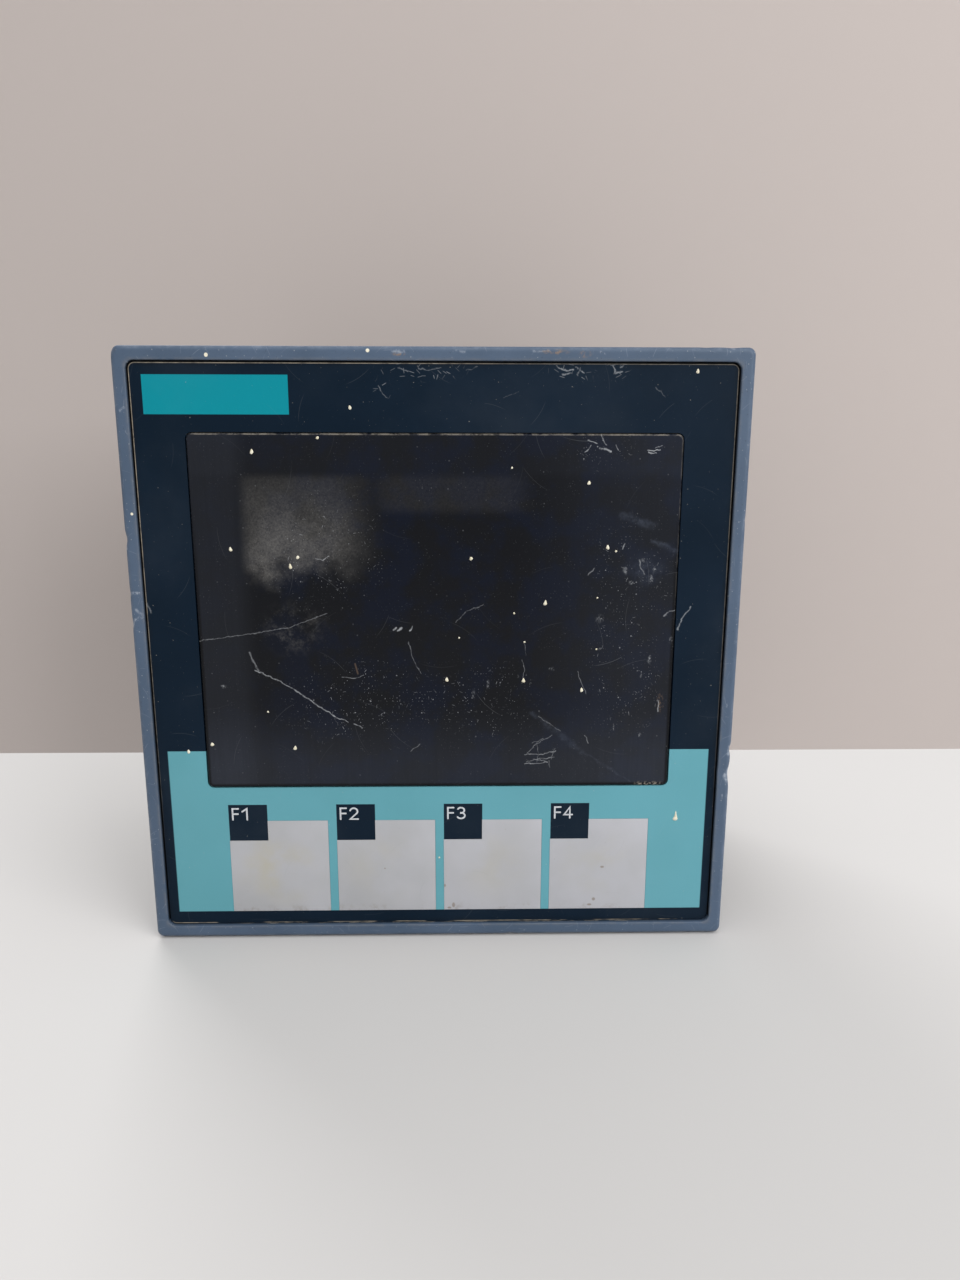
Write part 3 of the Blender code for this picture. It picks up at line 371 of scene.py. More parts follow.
def stage_finish(name, colour, one_sided=False):
    """A plain matt stage colour; a one-sided one lets the view through from its rear."""
    finish = Finish(name, Base_Color=colour, Roughness=0.9, Specular_IOR_Level=0.1)
    if one_sided:
        front = 1 - finish.node("ShaderNodeNewGeometry", output="Backfacing")
        finish.surface(Alpha=front)
    return finish.material


def stage_sheet(name, corners, material):
    """One rectangle of the stage, from its four corners."""
    mesh = bpy.data.meshes.new(name)
    mesh.from_pydata(corners, [], [(0, 1, 2, 3)])
    mesh.materials.append(material)
    sheet = bpy.data.objects.new(name, mesh)
    bpy.context.scene.collection.objects.link(sheet)
    return sheet


table_sides = [(x * TABLE_REACH, y * TABLE_REACH) for x, y in ((-1, -1), (1, -1), (1, 1), (-1, 1))]
table_corners = [(x, y, table_height(y)) for x, y in table_sides]
stage_sheet("table", table_corners, stage_finish("table", TABLE_COLOUR))
foot = table_height(WALL_PLACE)
wall_corners = [(-WALL_HALF, foot), (WALL_HALF, foot), (WALL_HALF, WALL_TOP), (-WALL_HALF, WALL_TOP)]
wall_material = stage_finish("wall", WALL_COLOUR, True)
wall = stage_sheet("wall", [(x, WALL_PLACE, z) for x, z in wall_corners], wall_material)
wall.visible_diffuse = wall.visible_shadow = False
print("table slope, degrees:", round(math.degrees(math.atan(table_slope)), 2))


# %% Light
def soft_box(name, place, aim, size, watts):
    """A square area lamp that faces the point aim."""
    lamp = bpy.data.lights.new(name, "AREA")
    lamp.size = size
    lamp.energy = watts
    box = bpy.data.objects.new(name, lamp)
    direction = Vector(aim) - Vector(place)
    box.matrix_world = Matrix.Translation(place) @ direction.to_track_quat("-Z", "Y").to_matrix().to_4x4()
    bpy.context.scene.collection.objects.link(box)


WORLD_GREY = (0.62, 0.615, 0.61, 1)
UNIT_MIDDLE = (0, 0, 0.048)
soft_box("box_above", (0.1, -0.3, 1.0), UNIT_MIDDLE, 0.9, 3.4)
soft_box("box_right", (0.34, -0.36, 0.3), UNIT_MIDDLE, 0.36, 1.45)
soft_box("box_rear", (-0.5, 0.9, 0.7), UNIT_MIDDLE, 0.7, 9.0)
world = bpy.data.worlds.new("studio")
world.use_nodes = True
world.node_tree.nodes["Background"].inputs["Color"].default_value = WORLD_GREY
bpy.context.scene.world = world
print("lamps:", [lamp.name for lamp in bpy.data.lights])

# %% [markdown]
# ## Surfaces from formulas
# A new piece is a sheet of points worked out all at once with numpy: rows of a profile times columns
# round a path. Two helpers turn such a sheet into a closed mesh, and a third takes a copy of a CAD node
# whose shape is already right, joins its loose triangles and rounds its edges with a Bevel.


# %% Surfaces
def sheet_faces(rows, columns, closed_rows=False):
    """Quads between neighbouring points of a grid whose columns, and rows if asked, join end to start."""
    row = np.arange(rows if closed_rows else rows - 1)[:, None]
    column = np.arange(columns)[None, :]
    below, right = (row + 1) % rows, (column + 1) % columns
    upper, lower = row * columns, below * columns
    corners = [upper + column, upper + right, lower + right, lower + column]
    return np.stack(np.broadcast_arrays(*corners), -1).reshape(-1, 4)


def dressed(piece, material, body, nodes):
    """Gives a piece its finish, the body it moves with and the nodes it stands for."""
    piece.data.materials.clear()
    piece.data.materials.append(material)
    bpy.context.scene.collection.objects.link(piece)
    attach(piece, body)
    if nodes:
        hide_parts(*nodes)
    return piece


def from_points(name, points, faces, material, slot, body="unit", nodes=(), crease=40, **values):
    """A piece from an array of points; poles and seams are merged, and values become point attributes."""
    mesh = bpy.data.meshes.new(name)
    mesh.from_pydata(points.reshape(-1, 3).tolist(), [], [list(face) for face in faces])
    for key, array in values.items():
        attribute = mesh.attributes.new(key, "FLOAT", "POINT")
        attribute.data.foreach_set("value", np.asarray(array, np.float32).ravel())
    work = bmesh.new()
    work.from_mesh(mesh)
    bmesh.ops.remove_doubles(work, verts=work.verts, dist=1e-7)
    bmesh.ops.recalc_face_normals(work, faces=work.faces)
    work.to_mesh(mesh)
    work.free()
    mesh.shade_smooth()
    mesh.set_sharp_from_angle(angle=math.radians(crease))
    return dressed(bpy.data.objects.new(name, mesh), material, body, nodes)


def from_node(node, name, material, body="unit", bevel=0.15, segments=2, angle=28):
    """A CAD node's own shape with its edges rounded by bevel mm."""
    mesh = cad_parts[node].data.copy()
    mesh.name = name
    work = bmesh.new()
    work.from_mesh(mesh)
    bmesh.ops.remove_doubles(work, verts=work.verts, dist=1e-6)
    bmesh.ops.dissolve_limit(work, angle_limit=math.radians(0.4), verts=work.verts, edges=work.edges)
    work.to_mesh(mesh)
    work.free()
    mesh.shade_smooth()
    piece = bpy.data.objects.new(name, mesh)
    rounding = piece.modifiers.new("rounded edges", "BEVEL")
    rounding.width = bevel * MM
    rounding.segments = segments
    rounding.limit_method = "ANGLE"
    rounding.angle_limit = math.radians(angle)
    piece.modifiers.new("even shading", "WEIGHTED_NORMAL").keep_sharp = True
    return dressed(piece, material, body, [node])


print("surface helpers ready")

# %% [markdown]
# ## Marks of use
# Years in a switchboard leave scratches, scuffs, dust and dried drops. A mark that the eye remembers is
# placed as a line or a soft oval. The thousands of small ones are strewn: a Voronoi texture
# splits the front into cells, and the colour of a cell is its luck, which says whether it holds a mark,
# how strong it is and which way it points.


# %% Marks placed one by one
def front_plane(finish):
    """The front seen flat, in mm: x to the right and z up are the first two parts of the vector."""
    x, _, z = across(finish)
    return finish.node("ShaderNodeCombineXYZ", None, {"X": x, "Y": z})


def vectors(finish, operation, first, second, output="Vector"):
    """One Vector Math node."""
    return finish.node("ShaderNodeVectorMath", {"operation": operation}, {0: first, 1: second}, output)


def shaken(finish, flat, size, reach):
    """The front plane with every point moved by up to half of reach mm, so that straight lines waver."""
    sockets = {"Vector": finish.place, "Scale": 1 / (size * MM), "Detail": 3.0}
    noise = finish.node("ShaderNodeTexNoise", None, sockets, "Color")
    away = vectors(finish, "SUBTRACT", noise, (0.5, 0.5, 0.5))
    return vectors(finish, "ADD", flat, vectors(finish, "MULTIPLY", away, (reach, reach, 0)))


def stroke(finish, flat, start, end, width):
    """1 on the line from start to end, falling to 0 at width mm: distance to the nearest point of it."""
    run = Vector((end[0] - start[0], end[1] - start[1], 0))
    away = vectors(finish, "SUBTRACT", flat, (*start, 0))
    share = vectors(finish, "DOT_PRODUCT", away, run / run.length_squared, "Value").most(0).least(1)
    foot_point = finish.node("ShaderNodeVectorMath", {"operation": "SCALE"}, {0: run, "Scale": share})
    return vectors(finish, "DISTANCE", away, foot_point, "Value").rise(width, 0)


def blob(finish, flat, middle, spread):
    """A soft oval: 1 at its middle and 0 from spread mm outwards."""
    away = vectors(finish, "SUBTRACT", flat, (*middle, 0))
    shrunk = vectors(finish, "MULTIPLY", away, (1 / spread[0], 1 / spread[1], 0))
    return vectors(finish, "LENGTH", shrunk, (0, 0, 0), "Value").rise(1, 0)


def strongest(masks):
    """The largest of several masks at each point."""
    masks = iter(masks)
    total = next(masks)
    for mask in masks:
        total = total.most(mask)
    return total


def scratched(finish, flat, lines):
    """Scratches, each a row of points in mm with a width and a strength, the strongest kept."""
    return strongest(
        stroke(finish, flat, *ends, width) * strength
        for points, width, strength in lines for ends in zip(points, points[1:]))


def blotted(finish, flat, spots):
    """Soft ovals, each a middle and a spread in mm, the strongest kept."""
    return strongest(blob(finish, flat, middle, spread) for middle, spread in spots)


# %% Marks strewn by chance
def luck_of_cells(finish, flat, spacing):
    """Cells about spacing mm wide: the point in each, the distance to it in mm, and three random numbers."""
    settings = {"voronoi_dimensions": "2D"}
    away = finish.node("ShaderNodeTexVoronoi", settings, {"Vector": flat, "Scale": 1 / spacing})
    red = finish.node("ShaderNodeSeparateColor", None, {0: away.also("Color")})
    return away.also("Position"), away * spacing, (red, red.also("Green"), red.also("Blue"))


def strewn_scratches(finish, flat, spacing, length, width, share, bend=0.0):
    """Short scratches, one in each lucky cell.

    The way from the cell's point is turned by a random angle into along and aside. The scratch lies where
    aside, less a bow that grows with the square of along, is under width, and along is under length.
    """
    point, _, (angle, chance, strength) = luck_of_cells(finish, flat, spacing)
    way = vectors(finish, "SUBTRACT", flat, point)
    settings = {"rotation_type": "Z_AXIS"}
    turned = finish.node("ShaderNodeVectorRotate", settings, {"Vector": way, "Angle": angle * (2 * math.pi)})
    along = finish.node("ShaderNodeSeparateXYZ", None, {0: turned})
    aside = abs(along.also("Y") - along * along * bend)
    line = aside.rise(width, 0) * abs(along).rise(length, 0.5 * length)
    return line * chance.rise(1 - share, 1.02 - share) * (strength * 0.7 + 0.3)


def strewn_dust(finish, flat, spacing, radius, share):
    """Dots of dust, one in each lucky cell: the distance to the cell's point is under radius mm."""
    _, away, (size, chance, strength) = luck_of_cells(finish, flat, spacing)
    dot = (away / (size * 0.7 + 0.3)).rise(radius, 0.5 * radius)
    return dot * chance.rise(1 - share, 1.02 - share) * (strength * 0.7 + 0.3)


def from_edge(x, z, half, middle, radius):
    """Distance in mm from the edge of a rounded rectangle inwards, as far as its corner radius.

    A coordinate counts only beyond the corner's centre, so the length of both is the distance from there.
    """
    aside = (abs(x) - (half[0] - radius)).most(0)
    above = (abs(z - middle) - (half[1] - radius)).most(0)
    return radius - (aside * aside + above * above) ** 0.5


print("marks strewn by chance: scratches and dust")

# %% [markdown]
# ## The bezel
# The bezel is a square moulded frame of grey-blue plastic: a flat land, a rounded outer edge, and an
# inner wall that drops to the ledge under the foil. It could be cut from a block, but as a section
# carried round a rounded square it has even, fine rows, and a few nicks can be pressed into its edge.
# The rest of the CAD bezel, the deck behind the foil and its collar, is kept as a copy without its rim.

# %% Path round the bezel
bezel_low, bezel_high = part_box("front_bezel")
FRONT_Y = bezel_low.y
MIDDLE_Z = (bezel_low.z + bezel_high.z) / 2


def walk_round(straight, corner):
    """Once round a rounded square: lead points to the corner centres, normal points outwards.

    A point at distance half from the middle, with corners of a radius, is
    (half - radius) * lead + radius * normal.
    """
    along = np.linspace(-1, 1, straight, endpoint=False)
    turn = np.radians(np.linspace(0, 90, corner, endpoint=False))
    lead = np.concatenate([np.stack([np.ones_like(along), along], 1), np.ones((corner, 2))])
    normal = np.concatenate([np.tile([1.0, 0.0], (straight, 1)), np.stack([np.cos(turn), np.sin(turn)], 1)])
    quarter = np.array([[0.0, 1.0], [-1.0, 0.0]])
    turns = [np.linalg.matrix_power(quarter, k) for k in range(4)]
    return np.concatenate([lead @ t for t in turns]), np.concatenate([normal @ t for t in turns])


def carried_round(half, radius, depth, path):
    """A section (half, depth) in mm carried round the path, with a corner radius for each of its rows."""
    lead, normal = path
    flat = (half - radius)[:, None, None] * lead + radius[:, None, None] * normal
    points = np.empty((len(half), len(lead), 3))
    points[..., 0] = flat[..., 0] * MM
    points[..., 1] = FRONT_Y + depth[:, None] * MM
    points[..., 2] = MIDDLE_Z + flat[..., 1] * MM
    return points


def arc(half, depth, radius, start, end, steps):
    """Rows of a rounding about (half, depth): cosine and sine of an angle that runs from start to end."""
    angle = np.radians(np.linspace(start, end, steps + 1))
    return np.stack([half + radius * np.cos(angle), depth + radius * np.sin(angle)], 1)


def straight(start, end, steps):
    """Rows between two points of a section, both ends left to its neighbours."""
    share = np.linspace(0, 1, steps + 1)[1:-1, None]
    return np.array(start) + share * (np.array(end) - np.array(start))


print("bezel front at y =", round(FRONT_Y / MM, 2), "mm, middle at z =", round(MIDDLE_Z / MM, 2), "mm")

# %% Bezel section
BEZEL_HALF = bezel_high.x / MM
RIM_HALF = 45.9
LEDGE_HALF, LEDGE_DEPTH = 45.0, 1.3
FRONT_ROUND, RIM_ROUND, REAR_ROUND = 0.8, 0.16, 0.25
FLANGE_DEPTH = (FLANGE_REAR - FRONT_Y) / MM
BEZEL_CORNERS = [0.8, 1.3, 0.6, 1.15]
BEZEL_STEPS = (260, 12)

outer = BEZEL_HALF - FRONT_ROUND
rear = BEZEL_HALF - REAR_ROUND
section = np.concatenate([
    [[LEDGE_HALF, LEDGE_DEPTH], [RIM_HALF, LEDGE_DEPTH]],
    straight((RIM_HALF, LEDGE_DEPTH), (RIM_HALF, RIM_ROUND), 5),
    arc(RIM_HALF + RIM_ROUND, RIM_ROUND, RIM_ROUND, 180, 270, 4),
    straight((RIM_HALF + RIM_ROUND, 0), (outer, 0), 6),
    arc(outer, FRONT_ROUND, FRONT_ROUND, 270, 360, 9),
    straight((BEZEL_HALF, FRONT_ROUND), (BEZEL_HALF, FLANGE_DEPTH - REAR_ROUND), 6),
    arc(rear, FLANGE_DEPTH - REAR_ROUND, REAR_ROUND, 0, 90, 3),
    [[LEDGE_HALF, FLANGE_DEPTH]],
])
half, depth = section.T
corner = np.interp(half, [LEDGE_HALF, RIM_HALF, outer, BEZEL_HALF], BEZEL_CORNERS)
bezel_points = carried_round(half, corner, depth, walk_round(*BEZEL_STEPS))
print("bezel section:", len(section), "rows of", bezel_points.shape[1], "points")

# %% Nicks in the edge
NICKS = [
    (-48.0, 67.4, 0.9, 0.26), (-48.0, 54.2, 0.8, 0.12), (-47.9, 59.0, 0.5, 0.1), (-47.6, 95.2, 0.6, 0.24),
    (48.0, 32.9, 0.8, 0.3), (48.0, 28.8, 1.5, 0.3), (48.0, 70.4, 0.5, 0.1), (44.5, 96.0, 0.9, 0.14),
    (40.5, 96.0, 0.6, 0.1), (-20.0, 96.0, 0.4, 0.08), (12.0, 0.2, 0.6, 0.1),
]
NICK_DEPTH = 0.25
NICK_SIDE = 46
EDGE_INSET, EDGE_SPREAD = 0.25, 0.35
LIP_PLACE, LIP_SPREAD = (0.1, 0.05), 0.25
# Painted shade down the rim's inner wall: the depth in mm where it sets in, along the foot and elsewhere,
# and how softly.
GAP_SHADE_START, GAP_SHADE_START_FOOT, GAP_SHADE_SOFT = 0.34, 1.05, 0.25

nicked = np.zeros(bezel_points.shape[:2])
for x, z, size, deep in NICKS:
    spot = np.array([x * MM, FRONT_Y + NICK_DEPTH * MM, z * MM])
    near = np.exp(-(((bezel_points - spot) / (size * MM)) ** 2).sum(-1))
    nicked = np.maximum(nicked, near)
    above = z - MIDDLE_Z / MM
    pull = np.array([-np.sign(x) * (abs(x) > NICK_SIDE), 0.6, -np.sign(above) * (abs(above) > NICK_SIDE)])
    bezel_points += (near * deep * MM)[..., None] * pull / np.linalg.norm(pull)

at_foot = bezel_points[..., 2] < 3 * MM
edge_away = (half - BEZEL_HALF + EDGE_INSET) ** 2 + (depth - EDGE_INSET) ** 2
lip_away = (half - RIM_HALF - LIP_PLACE[0]) ** 2 + (depth - LIP_PLACE[1]) ** 2
# The outer rounding is marked for a paler tone: partly wear, partly a painted highlight.
edge_wear_and_highlight = np.exp(-(edge_away / EDGE_SPREAD ** 2))
lip_share = np.exp(-(lip_away / LIP_SPREAD ** 2))
inside = half < RIM_HALF + 0.05
# Painted shade: deep on the rim's inner wall and over the ledge the bezel is marked to turn near black.
gap_share, foot_gap_shade_share = [
    np.clip((depth - start) / GAP_SHADE_SOFT, 0, 1) * inside for start in (GAP_SHADE_START, GAP_SHADE_START_FOOT)]
gap = np.where(at_foot, foot_gap_shade_share[:, None], gap_share[:, None])
around = np.ones((1, bezel_points.shape[1]))
print("nicks:", len(NICKS), "deepest, mm:", max(deep for *_, deep in NICKS))

# %% Marks on the bezel
BEZEL_SCUFFS = [
    ([(-48.0, 58.7), (-47.2, 59.1), (-46.4, 59.0)], 0.3, 0.9), ([(-47.0, 56.4), (-46.3, 55.6)], 0.4, 0.7),
    ([(-47.8, 53.7), (-47.3, 54.9), (-46.2, 55.2)], 0.35, 0.8), ([(-48.0, 66.6), (-47.9, 65.9)], 0.35, 0.9),
    ([(47.7, 33.6), (47.5, 32.2)], 0.35, 1.0), ([(47.9, 29.6), (47.2, 28.6), (47.6, 27.4)], 0.6, 0.9),
    ([(46.9, 25.2), (46.8, 24.4)], 0.2, 0.5), ([(46.8, 41.0), (46.7, 40.2)], 0.15, 0.5),
    ([(-46.5, 87.0), (-47.0, 86.6)], 0.3, 0.5), ([(-46.4, 83.8), (-46.2, 83.2)], 0.25, 0.4),
    ([(-6.3, 95.2), (-4.6, 95.1)], 0.4, 0.7), ([(3.0, 95.3), (4.4, 95.2)], 0.3, 0.4),
    ([(24.6, 95.2), (25.0, 94.9)], 0.3, 0.7), ([(14.6, 95.3), (17.0, 95.2)], 0.25, 0.4),
]
BEZEL_STAINS = [((17.6, 95.2), (3.0, 0.6)), ((22.3, 94.9), (1.2, 0.8)), ((-5.4, 94.8), (1.5, 0.4))]
BEZEL_DROPS = [((-33.8, 94.6), (0.45, 0.5)), ((-10.0, 95.3), (0.45, 0.45)), ((-46.5, 71.3), (0.35, 0.35))]
DROP_CREAM = screen(236, 230, 208)
print("bezel scuffs:", len(BEZEL_SCUFFS), "stains:", len(BEZEL_STAINS), "drops:", len(BEZEL_DROPS))


# %% Bezel finish
def point_value(finish, name):
    """A value that the mesh holds at its points."""
    return finish.node("ShaderNodeAttribute", {"attribute_name": name}, output="Fac")


def bezel_plastic(name):
    """Grey-blue moulding: paler along its outer rounding, as wear and a painted highlight, chalky in its
    nicks, scuffed, and near black as painted shade deep on the rim's inner wall.
    """
    finish = Finish(name, Specular_IOR_Level=0.42)
    edge, lip, nick, gap = [point_value(finish, key) for key in ("edge", "lip", "nick", "gap")]
    flat = front_plane(finish)
    x, y, z = across(finish)
    front = y.rise(FRONT_Y / MM + 1.2, FRONT_Y / MM + 0.5)
    fine = grain(finish, 0.3, 2)
    rub = grain(finish, 2.2, 5, rough=0.7)
    shade = mixed(finish, screen(68, 86, 108), screen(77, 95, 118), grain(finish, 16, 3).rise(0.3, 0.7))
    # Paler outer rounding, broken up by noise: wear and a painted highlight.
    shade = mixed(finish, shade, screen(118, 130, 147), edge * rub.rise(0.4, 0.75) * 0.6)
    shade = mixed(finish, shade, screen(110, 112, 116), lip * rub.rise(0.3, 0.7) * 0.5)
    hair = strewn_scratches(finish, flat, 2.0, 0.9, 0.06, 0.5, 0.1) * front
    scuff = scratched(finish, shaken(finish, flat, 0.8, 0.8), BEZEL_SCUFFS)
    scuff = scuff * grain(finish, 0.6, 3, rough=0.7).rise(0.36, 0.6) * front
    chalk = (nick * (rub + 0.2)).rise(0.5, 0.9).most(scuff)
    shade = mixed(finish, shade, screen(176, 184, 196), (chalk * 0.75).most(hair * 0.25))
    stain = blotted(finish, flat, BEZEL_STAINS) * grain(finish, 0.9, 4, rough=0.7).rise(0.45, 0.6) * front
    shade = mixed(finish, shade, screen(150, 122, 92), stain * 0.7)
    pale = strewn_dust(finish, flat, 0.9, 0.12, 0.22) * front
    dark = strewn_dust(finish, flat, 0.8, 0.12, 0.22) * front
    shade = mixed(finish, shade, screen(186, 190, 190), pale * 0.5)
    shade = mixed(finish, shade, screen(30, 36, 46), dark * 0.5)
    # Painted shade, near black, deep on the rim's inner wall and over the ledge.
    shade = mixed(finish, shade, screen(9, 12, 16), gap * 0.95)
    deep = y.rise(FRONT_Y / MM + 0.6, FRONT_Y / MM + 0.75) * z.rise(3.4, 2.6)
    lodged = deep * x.between(-33, 34, 4) * grain(finish, 1.3, 5, (0.4, 1, 1), 0.75).rise(0.46, 0.56)
    shade = mixed(finish, shade, screen(196, 190, 178), lodged * 0.8)
    shade = mixed(finish, shade, DROP_CREAM, blotted(finish, flat, BEZEL_DROPS).rise(0.25, 0.45) * front)
    return finish.surface(
        Base_Color=mixed(finish, shade, screen(58, 73, 94), fine.rise(0.58, 0.75) * 0.22),
        Roughness=fine * 0.12 + rub * 0.1 + 0.36 + chalk * 0.25 + gap * 0.3,
        Normal=embossed(finish, fine + rub * 0.5 - hair * 0.6, 0.012),
    )


# The points carry the bezel's marks: the paler outer rounding (wear and a painted highlight), the lip, the
# nicks and the painted shade deep in the rim.
bezel_frame = from_points(
    "bezel_frame", bezel_points, sheet_faces(*bezel_points.shape[:2], closed_rows=True),
    bezel_plastic("bezel_plastic"), "bezel", nodes=["front_bezel"],
    edge=edge_wear_and_highlight[:, None] * around, lip=lip_share[:, None] * around, nick=nicked, gap=gap,
)
print("bezel frame:", len(bezel_frame.data.polygons), "faces")


# %% Bezel deck
def without_rim(node, name, half, material):
    """A copy of a node cut off at four planes, half mm from the middle, each cut closed by a face."""
    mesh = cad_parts[node].data.copy()
    mesh.name = name
    work = bmesh.new()
    work.from_mesh(mesh)
    bmesh.ops.remove_doubles(work, verts=work.verts, dist=1e-6)
    for direction in ((1, 0, 0), (-1, 0, 0), (0, 0, 1), (0, 0, -1)):
        place = Vector((0, 0, MIDDLE_Z)) + Vector(direction) * half * MM
        everything = work.verts[:] + work.edges[:] + work.faces[:]
        cut = bmesh.ops.bisect_plane(
            work, geom=everything, plane_co=place, plane_no=direction, clear_outer=True)["geom_cut"]
        rim = [e for e in cut if isinstance(e, bmesh.types.BMEdge)]
        bmesh.ops.triangle_fill(work, edges=rim, use_beauty=True)
    bmesh.ops.recalc_face_normals(work, faces=work.faces)
    open_edges = sum(not e.is_manifold for e in work.edges)
    work.to_mesh(mesh)
    work.free()
    print(name, "open edges:", open_edges)
    return dressed(bpy.data.objects.new(name, mesh), material, "unit", [node])


# Painted shade: the deck is the same moulding as the bezel's front but is given a darker grey-blue.
deck_plastic_shaded = moulded("deck_plastic_shaded", screen(52, 65, 82), 0.5)
bezel_deck = without_rim("front_bezel", "bezel_deck", LEDGE_HALF, deck_plastic_shaded)
print("bezel deck:", len(bezel_deck.data.polygons), "faces")

# %% [markdown]
# ## The printed foil
# A polyester foil lies in the bezel, with a fine dark gap round it. Its print is navy, with a teal band
# round the keys and the window's lower part, a small teal field at the upper left and a dark square at
# each key. A picture of the print could be wrapped on, but each field is only a rectangle, so it is
# written as products of smooth steps in x and z. The teal band is lighter towards the right: painted
# light. The cut edge of the foil is rough and catches the light from above; this is painted as a thin
# pale line, a painted highlight.

# %% Places on the print
PRINT_SOFT = 0.05
BAND = (-44.0, 44.3, 4.57, 33.0)
UPPER_FIELD = (-43.75, -22.05, 86.1, 91.85)
LABEL_SIZE = 6.4
LABEL_BOTTOM = 17.3
FOIL_HALF, FOIL_CORNER = 45.6, 1.0

key_boxes = [[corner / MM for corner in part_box(f"key_pad_{k}")] for k in range(1, 5)]
key_pitch = key_boxes[1][0].x - key_boxes[0][0].x
row_left, row_right = key_boxes[0][0].x, key_boxes[3][1].x
foil_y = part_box("front_overlay")[0].y
print("keys every", round(key_pitch, 3), "mm from x =", round(row_left, 2), "to", round(row_right, 2))

# %% Marks on the foil
FOIL_SCRATCHES = [
    ([(40.1, 56.7), (38.9, 55.0), (38.2, 53.0)], 0.16, 0.8), ([(-45.4, 57.4), (-44.9, 56.0)], 0.25, 0.6),
    ([(18.2, 93.2), (19.6, 92.5), (20.6, 92.8)], 0.16, 0.9), ([(19.0, 91.9), (20.4, 92.2)], 0.2, 0.8),
    ([(20.9, 93.1), (22.3, 92.2)], 0.14, 0.8), ([(21.6, 93.0), (21.2, 91.8)], 0.12, 0.6),
    ([(26.6, 93.2), (27.0, 92.2), (27.9, 92.4)], 0.18, 0.9), ([(27.6, 93.0), (28.1, 93.2)], 0.14, 0.7),
    ([(-5.6, 92.9), (-4.0, 92.4)], 0.14, 0.5), ([(-2.6, 92.8), (-1.0, 92.6), (0.8, 92.9)], 0.12, 0.5),
    ([(-8.6, 90.4), (-8.0, 89.2), (-7.4, 88.6)], 0.14, 0.5), ([(4.6, 92.6), (6.2, 93.0)], 0.12, 0.4),
    ([(33.0, 90.2), (34.6, 88.8)], 0.1, 0.3), ([(10.2, 88.6), (12.4, 89.4)], 0.1, 0.25),
]
FOIL_WORN = [
    ((20.5, 92.6), (5, 2.4)), ((27.3, 92.6), (2.4, 2)), ((-2.3, 92.6), (9, 2.2)), ((-8.1, 89.6), (2, 2.4)),
]
print("foil scratches:", len(FOIL_SCRATCHES), "worn places:", len(FOIL_WORN))


# %% Foil finish
def label_squares(x, z):
    """The dark square at each key: where x is within the first part of a key's pitch."""
    column = (x - row_left) % key_pitch
    square = column.rise(LABEL_SIZE + PRINT_SOFT, LABEL_SIZE - PRINT_SOFT)
    square = square * x.between(row_left, row_right, PRINT_SOFT)
    return square * z.between(LABEL_BOTTOM, LABEL_BOTTOM + LABEL_SIZE, PRINT_SOFT)


def printed_foil(name):
    """Navy foil with its printed rectangles, the teal band lighter to the right as painted light, a pale cut
    edge that is a painted highlight, darker near its edge, scuffs at the top and a dull film.
    """
    finish = Finish(name, Specular_IOR_Level=0.12)
    x, _, z = across(finish)
    flat = front_plane(finish)
    band = x.between(*BAND[:2], 2 * PRINT_SOFT) * z.between(*BAND[2:], PRINT_SOFT)
    field = x.between(*UPPER_FIELD[:2], PRINT_SOFT) * z.between(*UPPER_FIELD[2:], PRINT_SOFT)
    drift = grain(finish, 18, 3).rise(0.3, 0.7)
    navy = mixed(finish, screen(3, 23, 39), screen(8, 28, 45), drift)
    # The teal band is lighter towards the right: painted light, on top of its random drift.
    teal = mixed(finish, screen(95, 158, 169), screen(103, 167, 180), drift * 0.5 + x.rise(-40, 40) * 0.5)
    shade = mixed(finish, navy, teal, band)
    shade = mixed(finish, shade, screen(4, 138, 153), field)
    shade = mixed(finish, shade, screen(8, 27, 43), label_squares(x, z))
    worn = blotted(finish, flat, FOIL_WORN)
    scuff = scratched(finish, shaken(finish, flat, 0.7, 0.7), FOIL_SCRATCHES)
    scuff = scuff * grain(finish, 0.5, 3).rise(0.25, 0.55)
    scuff = scuff.most(strewn_scratches(finish, flat, 0.9, 0.5, 0.08, 0.55) * worn.rise(0, 0.5) * 0.8)
    hair = strewn_scratches(finish, flat, 5.5, 2.4, 0.05, 0.5, 0.06)
    dust = strewn_dust(finish, flat, 2.6, 0.1, 0.3) + strewn_dust(finish, flat, 1.1, 0.05, 0.4) * 0.5
    film = grain(finish, 26, 5, rough=0.6).rise(0.45, 0.8)
    shade = mixed(finish, shade, screen(176, 182, 188), scuff * 0.55 + hair * 0.08 + film * 0.02)
    shade = mixed(finish, shade, screen(196, 194, 184), dust * 0.4)
    inward = from_edge(x, z, (FOIL_HALF, FOIL_HALF), MIDDLE_Z / MM, FOIL_CORNER)
    # Painted highlight along the foil's cut edge: strongest at the top, fading down the sides, more on the
    # left, patchy along the foot.
    side = z.rise(10, 80) * 0.75 * x.rise(60, -30).most(0.45)
    side = side.most(z.rise(3, 2.8) * grain(finish, 5, 3).rise(0.45, 0.55) * 0.75)
    cut = inward.rise(0.17, 0.09) * side * (grain(finish, 1.6, 4, rough=0.7).rise(0.3, 0.6) * 0.6 + 0.4)
    # Darker, in patches, within 0.9 mm of the foil's edge.
    darker_near_edge = inward.rise(0.9, 0.3) * grain(finish, 4, 4).rise(0.35, 0.7)
    shade = mixed(finish, shade, screen(10, 15, 20), darker_near_edge * 0.3)
    shade = mixed(finish, shade, screen(186, 174, 154), cut)
    peel = grain(finish, 0.9, 2)
    return finish.surface(
        Base_Color=shade,
        Roughness=drift * 0.08 + peel * 0.08 + 0.36 + scuff * 0.2 + darker_near_edge * 0.1,
        Normal=embossed(finish, peel + scuff, 0.006),
    )


from_node("front_overlay", "overlay_foil", printed_foil("printed_foil"), bevel=0.05)
print("foil print fields: band, upper field and", len(key_boxes), "labels")
